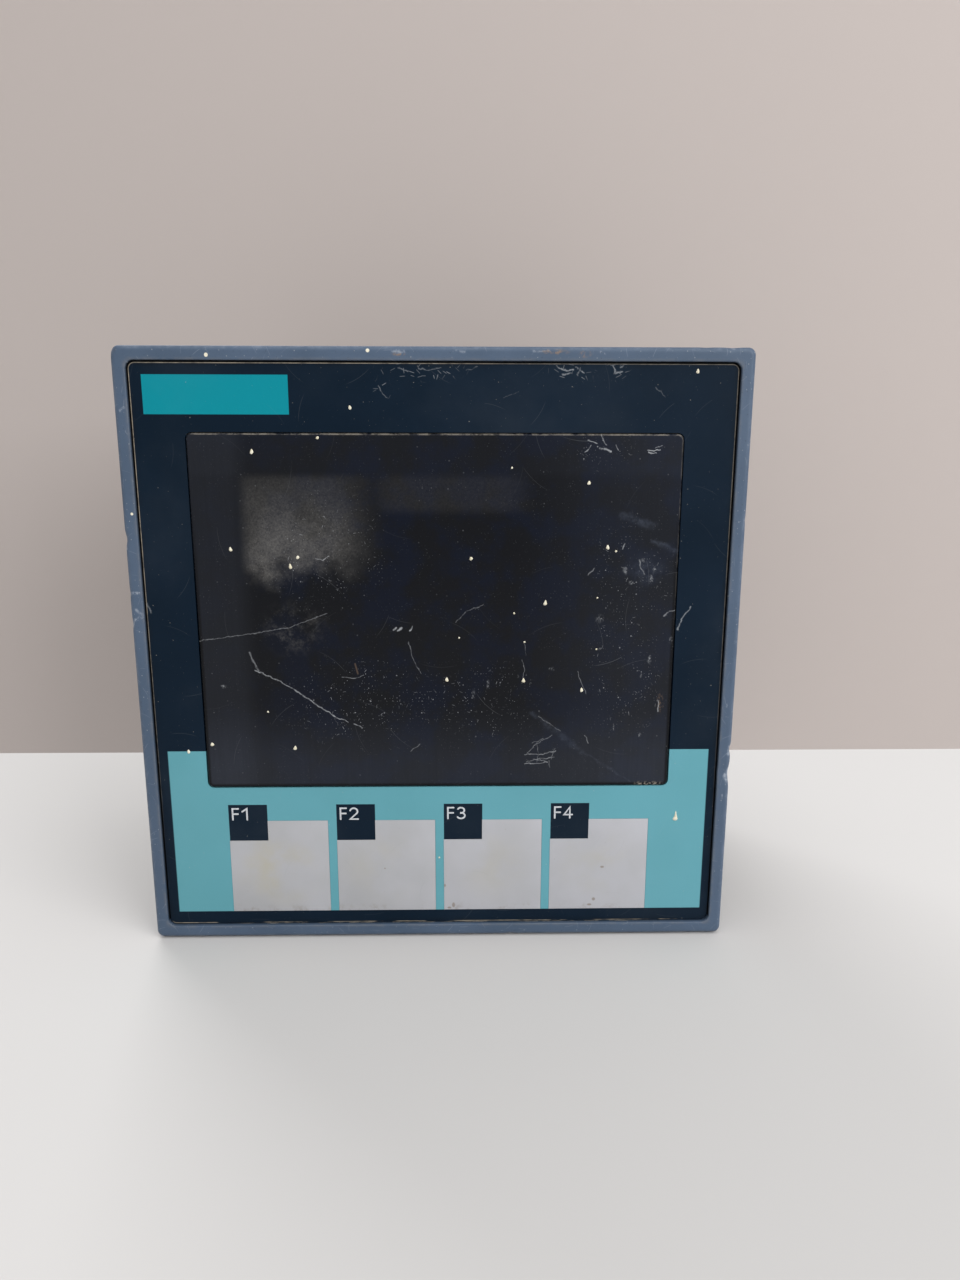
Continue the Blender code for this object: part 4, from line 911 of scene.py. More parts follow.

# %% [markdown]
# ## The window
# The window is a smoked pane, dark and nearly neutral, that stands out of the foil by a fifth of a
# millimetre with a small chamfer. Light that it scatters and reflects is painted into its colour: a painted
# reflection as a hazy patch over the display's upper left and as a paler left, right and foot, and painted
# shade along its lower edges. Besides that it has a fine upright grain and the scratches of years of
# wiping. The long ones are lines between chosen places; the fine ones are strewn, more of them where the
# pane is worn.

# %% Marks on the window
LONG_SCRATCHES = [
    ([(-29.0, 46.6), (-25.2, 44.7), (-21.6, 42.4), (-19.2, 40.6), (-16.6, 38.9)], 0.14, 0.8),
    ([(-16.4, 38.7), (-14.6, 38.0)], 0.11, 0.8), ([(-13.6, 37.6), (-12.3, 37.0)], 0.13, 0.7),
    ([(-29.8, 49.4), (-29.2, 47.6), (-28.5, 46.6)], 0.22, 0.4),
    ([(-37.7, 51.4), (-30.8, 52.3), (-23.1, 53.6), (-17.4, 55.8)], 0.1, 0.4),
    ([(2.8, 54.3), (4.6, 56.1), (7.2, 57.1)], 0.1, 0.3),
    ([(-4.6, 51.2), (-4.2, 49.0), (-2.7, 45.8)], 0.1, 0.35),
    ([(13.8, 50.9), (14.0, 48.9)], 0.07, 0.4), ([(13.5, 48.2), (13.8, 46.4), (13.6, 45.2)], 0.08, 0.45),
    ([(22.4, 46.2), (23.0, 44.4), (23.9, 42.6)], 0.09, 0.5),
    ([(35.9, 55.3), (36.7, 56.0), (37.5, 56.1)], 0.16, 0.6),
    ([(-7.0, 53.0), (-6.5, 53.5)], 0.2, 1.0), ([(-6.3, 53.0), (-5.7, 53.5)], 0.22, 1.0),
    ([(-4.4, 53.0), (-4.0, 53.6)], 0.2, 1.0),
    ([(-18.9, 64.4), (-17.6, 64.2), (-16.8, 64.8)], 0.1, 0.7),
    ([(-15.4, 45.4), (-13.2, 45.2), (-11.9, 45.8)], 0.1, 0.5),
    ([(16.2, 38.8), (18.2, 37.4), (19.8, 36.2)], 0.1, 0.4),
    ([(-4.6, 33.0), (-3.0, 34.2)], 0.1, 0.4),
]
CROSSED_SCRATCHES = [
    ([(14.4, 32.5), (15.9, 34.1), (18.5, 35.6)], 0.09, 0.55), ([(15.2, 34.2), (17.0, 35.0)], 0.08, 0.4),
    ([(14.1, 32.3), (16.9, 32.3), (19.2, 32.9)], 0.1, 0.65),
    ([(14.4, 31.0), (16.4, 31.5), (19.0, 31.8)], 0.09, 0.65),
    ([(14.0, 30.7), (16.8, 30.8), (17.8, 31.0)], 0.11, 0.75),
    ([(15.4, 31.4), (17.4, 31.2)], 0.09, 0.6), ([(18.0, 31.3), (18.3, 30.1)], 0.08, 0.5),
    ([(16.0, 34.3), (16.3, 32.6), (16.1, 31.1)], 0.07, 0.45),
    ([(19.0, 33.3), (18.4, 31.4)], 0.08, 0.45),
]
UPPER_SCRATCHES = [
    ([(23.1, 82.4), (24.5, 81.9)], 0.14, 0.9), ([(23.5, 81.7), (23.2, 81.0), (22.7, 80.6)], 0.12, 0.8),
    ([(24.8, 81.3), (25.8, 81.1), (26.6, 80.7)], 0.2, 1.0),
    ([(25.2, 83.2), (25.4, 82.3), (25.9, 81.7)], 0.12, 0.6),
    ([(27.4, 81.7), (27.8, 80.9)], 0.1, 0.6), ([(32.3, 80.9), (33.2, 80.8), (34.1, 81.1)], 0.13, 1.0),
    ([(32.4, 80.6), (33.6, 80.5)], 0.1, 0.9), ([(33.4, 81.2), (34.4, 81.7)], 0.1, 0.6),
    ([(28.85, 65.9), (29.2, 66.75)], 0.13, 0.8),
    ([(31.6, 64.2), (31.8, 63.2), (32.5, 62.0)], 0.16, 0.5),
    ([(28.9, 63.1), (29.6, 62.9), (29.4, 62.3)], 0.16, 0.5), ([(23.8, 61.9), (24.5, 62.9)], 0.13, 0.5),
    ([(23.8, 35.5), (24.5, 34.3)], 0.12, 0.5), ([(35.55, 41.5), (35.75, 40.4), (35.7, 39.5)], 0.16, 0.8),
]
WINDOW_SCRATCHES = LONG_SCRATCHES + CROSSED_SCRATCHES + UPPER_SCRATCHES
WINDOW_STREAKS = [
    ([(15.4, 39.2), (23.2, 32.9)], 0.8, 0.7), ([(23.2, 32.9), (31.5, 27.6)], 0.3, 0.5),
    ([(28.8, 71.1), (33.6, 69.4)], 0.9, 0.8), ([(33.7, 67.2), (37.5, 65.6)], 0.7, 1.0),
]
WINDOW_SMUDGES = [
    ((32.6, 45.6), (0.25, 0.7)), ((33.9, 48.2), (0.45, 1.0)), ((32.7, 35.6), (0.25, 0.7)),
    ((28.5, 36.9), (0.2, 0.9)),
    ((37.1, 51.4), (0.4, 0.9)), ((25.8, 49.9), (0.4, 0.4)), ((18.2, 46.7), (0.6, 0.5)),
    ((8.0, 44.2), (0.4, 1.1)), ((5.7, 42.5), (0.4, 1.2)),
    ((25.7, 54.8), (0.9, 1.0)), ((29.5, 62.5), (0.6, 0.8)), ((34.1, 62.7), (0.4, 0.9)),
    ((32.2, 64.1), (0.5, 0.5)),
    ((33.6, 61.2), (0.5, 1.0)), ((30.4, 60.6), (0.6, 0.6)), ((-34.2, 44.0), (0.6, 0.5)),
]
WINDOW_WORN = [
    ((-12, 41), (18, 10)), ((31, 62), (9, 11)), ((25, 81), (8, 4)), ((8, 41), (12, 9)), ((30, 46), (9, 16)),
    ((-13.2, 45.6), (4, 3)), ((-18, 66), (14, 12)),
]
WINDOW_VEIL = ((32.6, 62.6), (4.4, 3.2))
# Where the painted reflection of a haze lies: a glow, a hollow in it and a smear below, as middles and
# spreads in mm.
REFLECTION_GLOW = ((-23, 64.5), (17, 15))
REFLECTION_HOLLOW = ((-18.5, 58.8), (6, 4))
REFLECTION_SMEAR = ((-22.6, 53.2), (6.5, 5.5))
RUST_LINE = ((-13.2, 47.6), (-12.8, 46.0), 0.22)
RUST_SPOT = ((35.9, 41.0), (0.8, 2.4))
print("window scratches:", len(WINDOW_SCRATCHES), "smudges:", len(WINDOW_SMUDGES))

# %% Window finish
window_low, window_high = [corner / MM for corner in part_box("display_window")]
WINDOW_HIDDEN = 2.12
WINDOW_HALF = [(window_high[k] - window_low[k]) / 2 - WINDOW_HIDDEN for k in (0, 2)]
WINDOW_MIDDLE = (window_low.z + window_high.z) / 2
WINDOW_CORNER = 1.0


def window_haze_reflection(finish, flat, x, z):
    """A painted reflection of scattered light: a grainy patch with soft borders and a slanting foot, a
    faint strip and a smear.
    """
    cloud = grain(finish, 5, 5, rough=0.65)
    speckle = grain(finish, 0.3, 3, rough=0.75)
    foot = (z - x * 0.1 + cloud * 9 - 4.5).rise(62, 67.5)
    hollow = blob(finish, flat, *REFLECTION_HOLLOW) * 0.85
    patch = x.rise(-30.8, -28.4) * x.rise(-7, -16) * z.rise(77.8, 76.2) * foot * (1 - hollow)
    glow = blob(finish, flat, *REFLECTION_GLOW) * (cloud.rise(0.25, 0.7) * 0.7 + 0.3) * 0.75 + 0.16
    strip = x.between(-9, 13, 3) * z.between(71.7, 77, 1.0) * 0.1
    smear = blob(finish, flat, *REFLECTION_SMEAR) * grain(finish, 2.4, 4, rough=0.7).rise(0.42, 0.72)
    return (patch * glow).most(strip).most(smear * 0.52) * (speckle * 2.2 - 0.1)


def window_marks(finish, flat):
    """Scratches broken up by noise, smudges, and strewn specks that gather where the pane is worn."""
    worn = blotted(finish, flat, WINDOW_WORN).rise(0, 0.6)
    patchy = grain(finish, 2.6, 3, rough=0.6).rise(0.46, 0.62)
    broken = grain(finish, 0.7, 4, rough=0.7).rise(0.3, 0.6)
    wavering = shaken(finish, flat, 0.9, 0.7)
    lines = scratched(finish, wavering, WINDOW_SCRATCHES) * (broken * 0.8 + 0.2)
    smudge = blotted(finish, wavering, WINDOW_SMUDGES).rise(0, 0.9)
    smudge = smudge * grain(finish, 0.3, 3, rough=0.7).rise(0.4, 0.7)
    short = strewn_scratches(finish, flat, 1.2, 0.32, 0.055, 0.35, 0.4) * patchy * (worn * 0.75 + 0.05)
    long = strewn_scratches(finish, flat, 7, 3.2, 0.05, 0.5, 0.05) * (worn * 0.15 + 0.08)
    fine = strewn_dust(finish, flat, 0.5, 0.08, 0.5) * (patchy * 0.75 + 0.25) * (worn * 0.75 + 0.14)
    coarse = strewn_dust(finish, flat, 2.1, 0.15, 0.3) * (worn * 0.7 + 0.15)
    return lines.most(smudge * 0.6).most(short).most(long).most(fine).most(coarse)


def smoked_window(name):
    """Smoked plastic: dark with bluish patches, a painted reflection that makes its left, right, foot and a
    hazy patch paler, painted shade along its lower edges, marks, and dust at its edges.
    """
    finish = Finish(name, Specular_IOR_Level=0.16)
    x, _, z = across(finish)
    flat = front_plane(finish)
    upright = grain(finish, 0.32, 3, (1, 1, 0.04))
    cloud = grain(finish, 9, 4, rough=0.6)
    haze_reflection = window_haze_reflection(finish, flat, x, z)
    mark = window_marks(finish, flat)
    border = from_edge(x, z, WINDOW_HALF, WINDOW_MIDDLE, WINDOW_CORNER)
    bluish = cloud.rise(0.42, 0.6) * (x.rise(-34, -18) * 0.7 + 0.3)
    body = mixed(finish, screen(12, 14, 19), screen(8, 15, 30), bluish)
    # Painted reflection: the pane is paler towards its left and right, its foot and a little at its top.
    side_reflection = x.rise(-28, -32) * 0.16 + x.rise(10, 34) * 0.17 + z.rise(42, 29) * 0.27 + z.rise(76.5, 78) * 0.05
    body = mixed(finish, body, screen(62, 67, 78), side_reflection * (upright * 0.35 + cloud * 0.4 + 0.55))
    # Painted reflection: a pale haze over the display's upper left.
    body = mixed(finish, body, screen(124, 122, 119), haze_reflection * 0.5)
    wavering = shaken(finish, flat, 1.5, 1.4)
    streak = scratched(finish, wavering, WINDOW_STREAKS)
    streak = streak.most(blob(finish, wavering, *WINDOW_VEIL) * 0.7)
    streak = streak * grain(finish, 1.2, 4, rough=0.75).rise(0.3, 0.7)
    body = mixed(finish, body, screen(120, 130, 150), streak * 0.16)
    # Painted shade: darker within 0.8 mm of the pane's edge, fully below z = 50 mm and fading out by z = 78
    # mm.
    body = mixed(finish, body, screen(4, 5, 7), border.rise(0.8, 0.35) * z.rise(78, 50) * 0.85)
    body = mixed(finish, body, screen(202, 206, 211), mark * 0.62)
    rust = stroke(finish, flat, *RUST_LINE) * 0.8
    rust = rust.most(blob(finish, flat, *RUST_SPOT) * grain(finish, 0.4, 3, rough=0.7).rise(0.45, 0.6))
    body = mixed(finish, body, screen(134, 112, 92), rust * 0.4)
    upper = z.rise(82.9, 83.1).most(x.rise(37.2, 37.4) * z.rise(45, 75) * 0.3)
    fluff = border.rise(0.3, 0.2) * upper * grain(finish, 1.8, 4, rough=0.7).rise(0.36, 0.6) * 0.42
    lodged = border.rise(0.9, 0.3) * x.between(32.6, 36.4, 0.8) * z.rise(29, 27)
    fluff = fluff.most(lodged * grain(finish, 0.4, 3).rise(0.45, 0.6) * 0.6)
    body = mixed(finish, body, screen(168, 160, 147), fluff)
    return finish.surface(
        Base_Color=body,
        Roughness=cloud * 0.12 + 0.16 + mark * 0.3 + haze_reflection * 0.1,
        Normal=embossed(finish, mark * -0.6 + cloud * 0.15, 0.01),
    )


from_node("display_window", "window_pane", smoked_window("smoked_window"), bevel=0.07)
print("window, mm:", [round(2 * half, 2) for half in WINDOW_HALF], "about z =", round(WINDOW_MIDDLE, 2))

# %% [markdown]
# ## Dried drops
# Some cream-coloured drops, of paint or glue, have dried on the front. A drop is a low dome: a flat disc
# whose height falls with the square of the distance from its middle. Its outline swings a little, and
# some drops were dragged upwards into a tip. All of them are one piece.

# %% Dried drops
PANE_DROPS = [
    (-27.9, 80.55, 0.36, 0.5), (-17.9, 82.7, 0.3, 0.0), (11.55, 78.3, 0.2, 0.0), (23.4, 76.0, 0.34, 0.2),
    (-31.9, 65.8, 0.34, 0.4), (-21.6, 64.6, 0.33, 0.0), (-22.8, 63.1, 0.36, 0.6), (5.3, 64.4, 0.34, 0.0),
    (26.6, 66.1, 0.36, 0.3), (17.0, 57.3, 0.38, 0.5), (12.1, 55.75, 0.2, 0.0), (3.4, 51.8, 0.18, 0.0),
    (13.8, 51.1, 0.2, 0.0), (1.4, 44.9, 0.36, 0.3), (13.7, 44.7, 0.36, 0.6), (23.1, 43.1, 0.35, 0.4),
    (-27.4, 39.7, 0.2, 0.0), (-36.65, 34.2, 0.36, 0.3), (-23.3, 33.5, 0.36, 0.4), (25.3, 49.9, 0.18, 0.0),
    (27.92, 65.55, 0.22, 0.0), (25.2, 58.2, 0.18, 0.0),
]
FOIL_DROPS = [
    (-40.6, 32.9, 0.34, 0.3), (39.4, 20.9, 0.56, 1.2), (-12.9, 87.1, 0.32, 0.2), (39.35, 92.5, 0.34, 0.3),
    (-0.05, 14.1, 0.2, 0.0),
]
DROP_RISE = 0.5
DROP_SHARE = 0.76


def drop_domes(drops, ground, rings=7, spokes=20):
    """Domes on the front plane y = ground mm, each (x, z, radius, tip), as one array of grids.

    A point at share r of the radius and angle a lies at radius * r * (1 + wobble) from the middle; its
    height is DROP_RISE * radius * (1 - r squared); the tip pulls the upper side up by the cube of its rise.
    """
    x, z, radius, tip = [column[:, None, None] for column in np.array(drops).T]
    radius = radius * DROP_SHARE
    share = np.linspace(0, 1, rings)[None, :, None]
    angle = np.linspace(0, 2 * np.pi, spokes, endpoint=False)[None, None, :]
    reach = radius * share * (1 + 0.09 * np.sin(2 * angle + 7 * x) + 0.06 * np.sin(3 * angle + 5 * z))
    rise = reach * np.sin(angle)
    up = rise + tip * radius * 1.6 * np.clip(rise / radius, 0, 1) ** 3
    away = reach * np.cos(angle) * (1 - 0.5 * tip * np.clip(rise / radius, 0, 1))
    height = DROP_RISE * radius * (1 - share ** 2) + 0 * angle
    domes = np.stack([x + away, ground - height, z + up], -1)
    soles = np.stack([x + away, ground + 0.01 + 0 * away, z + up], -1)[:, ::-1]
    return np.concatenate([domes, soles], 1) * MM


def gathered(grids):
    """Several grids of the same size as one list of faces."""
    count, rows, columns = grids.shape[:3]
    faces = sheet_faces(rows, columns)
    return (faces[None] + np.arange(count)[:, None, None] * rows * columns).reshape(-1, 4)


def dried_paint(name):
    """Cream paint, a little darker where it is thin."""
    finish = Finish(name, Specular_IOR_Level=0.4)
    uneven = grain(finish, 0.4, 3)
    return finish.surface(
        Base_Color=mixed(finish, screen(222, 214, 186), screen(240, 235, 215), uneven.rise(0.35, 0.6)),
        Roughness=uneven * 0.2 + 0.35,
    )


drop_grids = np.concatenate([drop_domes(PANE_DROPS, window_low.y), drop_domes(FOIL_DROPS, foil_y / MM)])
from_points("dried_drops", drop_grids, gathered(drop_grids), dried_paint("dried_paint"), "overlay")
print("dried drops:", len(drop_grids))

# %% [markdown]
# ## Keys
# A key is a grey field of the foil that gives by a fraction of a millimetre. It is kept as its own piece,
# so that it can be pressed, but its finish has to continue the foil: the same sheen, a little yellowed in
# the middle where fingers meet it, with grime at its lower edge. The dark label square takes its upper left
# corner, so a field has six corners. Its outline is grown to touch the foil, since no slit shows there.

# %% Key fields
KEY_GROWN = 0.045
KEY_ROUND = 0.03
KEY_SPOTS = [
    ((26.1, 6.3), (0.45, 0.45)), ((25.4, 5.3), (0.6, 0.3)), ((2.3, 5.4), (0.4, 0.7)),
    ((1.6, 4.9), (0.5, 0.3)),
    ((27.4, 12.2), (0.5, 0.3)), ((-9.2, 12.2), (0.2, 0.2)), ((0.85, 9.0), (0.3, 0.4)),
]


def key_print(name, middle):
    """Grey print, lighter towards the right as painted light, yellowed by fingers round the key's middle
    and grimy at its lower edge.
    """
    finish = Finish(name, Specular_IOR_Level=0.15)
    x, _, z = across(finish)
    flat = front_plane(finish)
    drift = grain(finish, 9, 4).rise(0.3, 0.7)
    touched = blob(finish, flat, middle, (9, 9)) * grain(finish, 5, 4).rise(0.35, 0.7)
    darker_near_edge = z.rise(6.4, 4.6) * grain(finish, 1.8, 4, rough=0.7).rise(0.5, 0.75)
    hair = strewn_scratches(finish, flat, 4.5, 1.8, 0.06, 0.5, 0.1)
    spot = blotted(finish, flat, KEY_SPOTS).rise(0.1, 0.5)
    spot = spot.most(strewn_dust(finish, flat, 2.8, 0.1, 0.25) * 0.6)
    # The grey is lighter towards the right: painted light, besides its random drift.
    shade = mixed(finish, screen(172, 173, 176), screen(186, 187, 193), drift * 0.5 + x.rise(-30, 30) * 0.5)
    shade = mixed(finish, shade, screen(180, 175, 156), touched * x.rise(0, -30).most(0.3))
    shade = mixed(finish, shade, screen(128, 112, 92), (darker_near_edge * 0.4).most(spot * 0.6))
    shade = mixed(finish, shade, screen(120, 122, 126), hair * 0.15)
    peel = grain(finish, 0.9, 2)
    return finish.surface(
        Base_Color=shade,
        Roughness=drift * 0.08 + peel * 0.08 + 0.38 + touched * 0.06,
        Normal=embossed(finish, peel, 0.006),
    )


def key_sheet(low, high):
    """A six-cornered sheet: rings of the outline from the rear middle, round the edge, to the front middle.

    Every ring is the outline pulled inwards; at the front edge the pull follows a quarter circle.
    """
    label_x, label_z = low.x + LABEL_SIZE, LABEL_BOTTOM
    outline = np.array([
        (low.x, low.z), (high.x, low.z), (high.x, high.z),
        (label_x, high.z), (label_x, label_z), (low.x, label_z)])
    inwards = np.array([(1, 1), (-1, 1), (-1, -1), (1, -1), (1, -1), (1, -1)])
    turn = np.radians(np.linspace(0, 90, 4))
    pull = np.concatenate([[0], KEY_ROUND * (1 - np.cos(turn))]) - KEY_GROWN
    depth = np.concatenate([[high.y], low.y + KEY_ROUND * (1 - np.sin(turn))])
    rings = outline[None] + pull[:, None, None] * inwards[None]
    points = np.stack([rings[..., 0], np.broadcast_to(depth[:, None], rings.shape[:2]), rings[..., 1]], -1)
    count = len(outline)
    caps = [np.arange(count)[::-1], np.arange(count) + (len(depth) - 1) * count]
    return points * MM, [*sheet_faces(len(depth), count), *caps]


for k, (low, high) in enumerate(key_boxes, 1):
    finish = key_print(f"key_print_{k}", ((low.x + high.x) / 2, (low.z + high.z) / 2))
    from_points(f"key_field_{k}", *key_sheet(low, high), finish, "key", f"key_{k}", [f"key_pad_{k}"], 20)
print("key fields:", len(key_boxes))

# %% [markdown]
# ## Legends
# The keys carry plain function numbers. A font would do, but these are drawn with a pen of one width and
# round ends, so each figure is a few lines and arcs, and the pen's stroke is a flat rounded ribbon.

# %% Legends
LEGEND_HEIGHT = 1.92
LEGEND_INSET = (0.68, 0.7)
LEGEND_PEN = 0.28
LEGEND_INK = 0.03
NUMBER_LEFT = 1.55


def bow(x, z, wide, high, start, end):
    """An arc of an ellipse from the angle start to end, in degrees."""
    angle = np.radians(np.linspace(start, end, 15))
    return np.stack([x + wide * np.cos(angle), z + high * np.sin(angle)], 1)


LETTER_F = [[(0, 0), (0, 1), (0.5, 1)], [(0, 0.52), (0.46, 0.52)]]
NUMBERS = {
    1: [[(0.03, 0.74), (0.42, 1), (0.42, 0)]],
    2: [[*bow(0.34, 0.71, 0.32, 0.29, 165, -38), (0.02, 0), (0.7, 0)]],
    3: [[*bow(0.32, 0.75, 0.29, 0.25, 150, -90), *bow(0.32, 0.26, 0.34, 0.26, 90, -150)]],
    4: [[(0.5, 0), (0.5, 1), (0, 0.3), (0.7, 0.3)]],
}


def pen(points):
    """A pen stroke: at each point an oval section across the run, with a half-round cap at both ends.

    The section is half the pen wide and LEGEND_INK high; over the caps its width falls as the sine of the
    angle and its place runs out by the cosine. At a corner it is widened by 1 / cos of half the turn.
    """
    points = np.asarray(points, float)
    points = points[np.concatenate([[True], np.linalg.norm(np.diff(points, axis=0), axis=1) > 1e-6])]
    runs = np.diff(points, axis=0)
    runs /= np.linalg.norm(runs, axis=1)[:, None]
    before, after = np.concatenate([runs[:1], runs]), np.concatenate([runs, runs[-1:]])
    middle = before + after
    middle /= np.linalg.norm(middle, axis=1)[:, None]
    widen = 1 / np.clip((middle * before).sum(1), 0.5, 1)
    turn = np.radians(np.linspace(0, 80, 5))[:, None]
    radius = LEGEND_PEN / 2
    start = points[0] - radius * np.sin(turn[::-1]) * runs[0]
    end = points[-1] + radius * np.sin(turn) * runs[-1]
    path = np.concatenate([start, points[1:-1], end])
    heading = np.concatenate([np.repeat(runs[:1], 5, 0), middle[1:-1], np.repeat(runs[-1:], 5, 0)])
    wide = radius * np.concatenate([np.cos(turn[::-1, 0]), widen[1:-1], np.cos(turn[:, 0])])
    around = np.linspace(0, 2 * np.pi, 12, endpoint=False)
    aside = np.stack([-heading[:, 1], heading[:, 0]], 1)
    flat = path[:, None] + aside[:, None] * (wide[:, None] * np.cos(around))[..., None]
    sheet = np.stack([flat[..., 0], -LEGEND_INK * np.sin(around) + 0 * flat[..., 0], flat[..., 1]], -1)
    return np.concatenate([sheet[:1] * 0 + sheet[:1].mean(1, keepdims=True), sheet,
                           sheet[-1:] * 0 + sheet[-1:].mean(1, keepdims=True)])


def legend_ink(name):
    """Pale grey ink, a little uneven where it was screened on."""
    finish = Finish(name, Specular_IOR_Level=0.3)
    worn = grain(finish, 0.5, 3)
    return finish.surface(
        Base_Color=mixed(finish, screen(186, 190, 196), screen(206, 210, 215), worn.rise(0.3, 0.6)),
        Roughness=worn * 0.1 + 0.4,
    )


def legend(name, number, left, top, material):
    """The letter and a number, each stroke a grid of its own, joined to one piece on the foil."""
    strokes = [np.array(line) * LEGEND_HEIGHT for line in LETTER_F]
    strokes += [np.array(line) * LEGEND_HEIGHT + (NUMBER_LEFT, 0) for line in NUMBERS[number]]
    grids = [pen(line) + (left, foil_y / MM, top - LEGEND_HEIGHT) for line in strokes]
    starts = np.cumsum([0] + [grid[..., 0].size for grid in grids])
    faces = [sheet_faces(*grid.shape[:2]) + start for grid, start in zip(grids, starts)]
    points = np.concatenate([grid.reshape(-1, 3) for grid in grids]) * MM
    return from_points(name, points, np.concatenate(faces), material, "overlay")


ink = legend_ink("legend_ink")
for k, (low, high) in enumerate(key_boxes, 1):
    legend(f"key_legend_{k}", k, low.x + LEGEND_INSET[0], LABEL_BOTTOM + LABEL_SIZE - LEGEND_INSET[1], ink)
print("legends are", LEGEND_HEIGHT, "mm high")

# %% [markdown]
# ## The rear
# Behind the panel the unit is a moulded box in dark grey, with three blocks of screw terminals, a network
# jack and a pluggable connector. The CAD shapes are right, so each is copied and its edges are rounded,
# as a mould would leave them. The finer things are added: a soft gasket, contacts, screws and cages.

# %% Moulded rear pieces
REAR = {
    "rear_housing": ("housing_shell", "housing", housing_plastic),
    "module_slot_cover": ("slot_cover", "cover", cover_plastic),
    "current_terminal_block": ("current_block", "terminal", terminal_plastic),
    "voltage_terminal_block": ("voltage_block", "terminal", terminal_plastic),
    "supply_terminal_block": ("supply_block", "terminal", terminal_plastic),
    "network_jack": ("jack_shield", "jack", jack_metal),
    "signal_header": ("signal_shroud", "plug", terminal_plastic),
    "signal_plug": ("signal_plug_body", "plug", plug_plastic),
}
for node, (name, slot, material) in REAR.items():
    from_node(node, name, material)
screw_nodes = [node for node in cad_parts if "terminal_screw" in node]
for node in screw_nodes:
    from_node(node, node.replace("terminal_screw", "clamp_screw"), screw_metal, bevel=0.12)
print("rear pieces:", len(REAR), "and", len(screw_nodes), "clamp screws")

# %% [markdown]
# ## Gasket
# A ring of foam rubber seals the unit against the panel. A moulded ring would be a plain strip, but foam
# swells between its flanks, so its section is a superellipse, fuller than an oval, carried round the flange.

# %% Gasket
gasket_low, gasket_high = [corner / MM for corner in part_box("panel_gasket")]
GASKET_INNER, GASKET_OUTER = 46.0, gasket_high.x
GASKET_SQUARE = 0.45


def foam_rubber(name):
    """Black foam: open pores as small dark cells, and a bloom of grey dust."""
    finish = Finish(name, Specular_IOR_Level=0.2)
    pores = cells(finish, 0.35).rise(0.1, 0.5)
    bloom = grain(finish, 3, 4, rough=0.7).rise(0.45, 0.75)
    shade = mixed(finish, screen(16, 16, 17), screen(34, 34, 35), pores)
    return finish.surface(
        Base_Color=mixed(finish, shade, screen(92, 90, 86), bloom * 0.18),
        Roughness=bloom * 0.1 + 0.8,
        Normal=embossed(finish, pores, 0.06),
    )


turn = np.linspace(0, 2 * np.pi, 20, endpoint=False)
swell = [np.sign(part) * np.abs(part) ** GASKET_SQUARE for part in (np.cos(turn), np.sin(turn))]
gasket_half = (GASKET_INNER + GASKET_OUTER) / 2 + swell[0] * (GASKET_OUTER - GASKET_INNER) / 2
gasket_middle = (gasket_low.y + gasket_high.y) / 2 - FRONT_Y / MM
gasket_depth = gasket_middle + swell[1] * (gasket_high.y - gasket_low.y) / 2
gasket_corner = np.interp(gasket_half, [GASKET_INNER, GASKET_OUTER], [2.5, 1.4])
gasket_points = carried_round(gasket_half, gasket_corner, gasket_depth, walk_round(24, 8))
gasket_faces = sheet_faces(*gasket_points.shape[:2], closed_rows=True)
foam = foam_rubber("foam_rubber")
from_points("foam_gasket", gasket_points, gasket_faces, foam, "gasket", nodes=["panel_gasket"])
print("gasket width, mm:", round(GASKET_OUTER - GASKET_INNER, 2), "points:", gasket_points[..., 0].size)

# %% [markdown]
# ## Contacts of the network jack
# Eight sprung gold wires lie along the roof of the socket and slant down into it. A wire is a tube: a small
# circle carried along a bent path; the eight are the same tube at eight places.

# %% Jack contacts
jack_low, jack_high = [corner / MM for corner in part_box("network_jack")]
CONTACT_PITCH, CONTACT_RADIUS = 1.02, 0.17
SOCKET_ROOF = 64.3
WIRE_PATH = [
    (25.0, -0.1), (23.6, -0.25), (20.0, -1.0), (16.8, -1.9), (16.0, -1.8), (15.4, -1.2), (15.0, -0.1),
]


def tube(path, radius, around=8):
    """A circle carried along a path in the y-z plane, turned square to the run; its ends are closed."""
    path = np.asarray(path, float)
    run = np.gradient(path, axis=0)
    run /= np.linalg.norm(run, axis=1)[:, None]
    angle = np.linspace(0, 2 * np.pi, around, endpoint=False)
    aside = radius * np.cos(angle)
    up = radius * np.sin(angle)
    y = path[:, :1] - run[:, 1:] * up
    z = path[:, 1:] + run[:, :1] * up
    rings = np.stack([np.broadcast_to(aside, y.shape), y, z], -1)
    ends = [np.broadcast_to(rings[end].mean(0), rings[end].shape)[None] for end in (0, -1)]
    return np.concatenate([ends[0], rings, ends[1]])


wire = tube(np.array(WIRE_PATH) + (0, SOCKET_ROOF), CONTACT_RADIUS)
contact_x = (jack_low.x + jack_high.x) / 2 + CONTACT_PITCH * (np.arange(8) - 3.5)
contacts = wire[None] + contact_x[:, None, None, None] * np.array([1.0, 0, 0])
from_points("jack_contacts", contacts * MM, gathered(contacts), gold_metal, "jack")
print("jack contacts:", len(contacts))

# %% [markdown]
# ## Screws and cages of the plug
# In each upper hole of the plug a slotted screw sits below the surface, and in each lower one a small cage
# waits for a wire. A slotted head is two half-moons with a gap between them; a cage is a square tube.

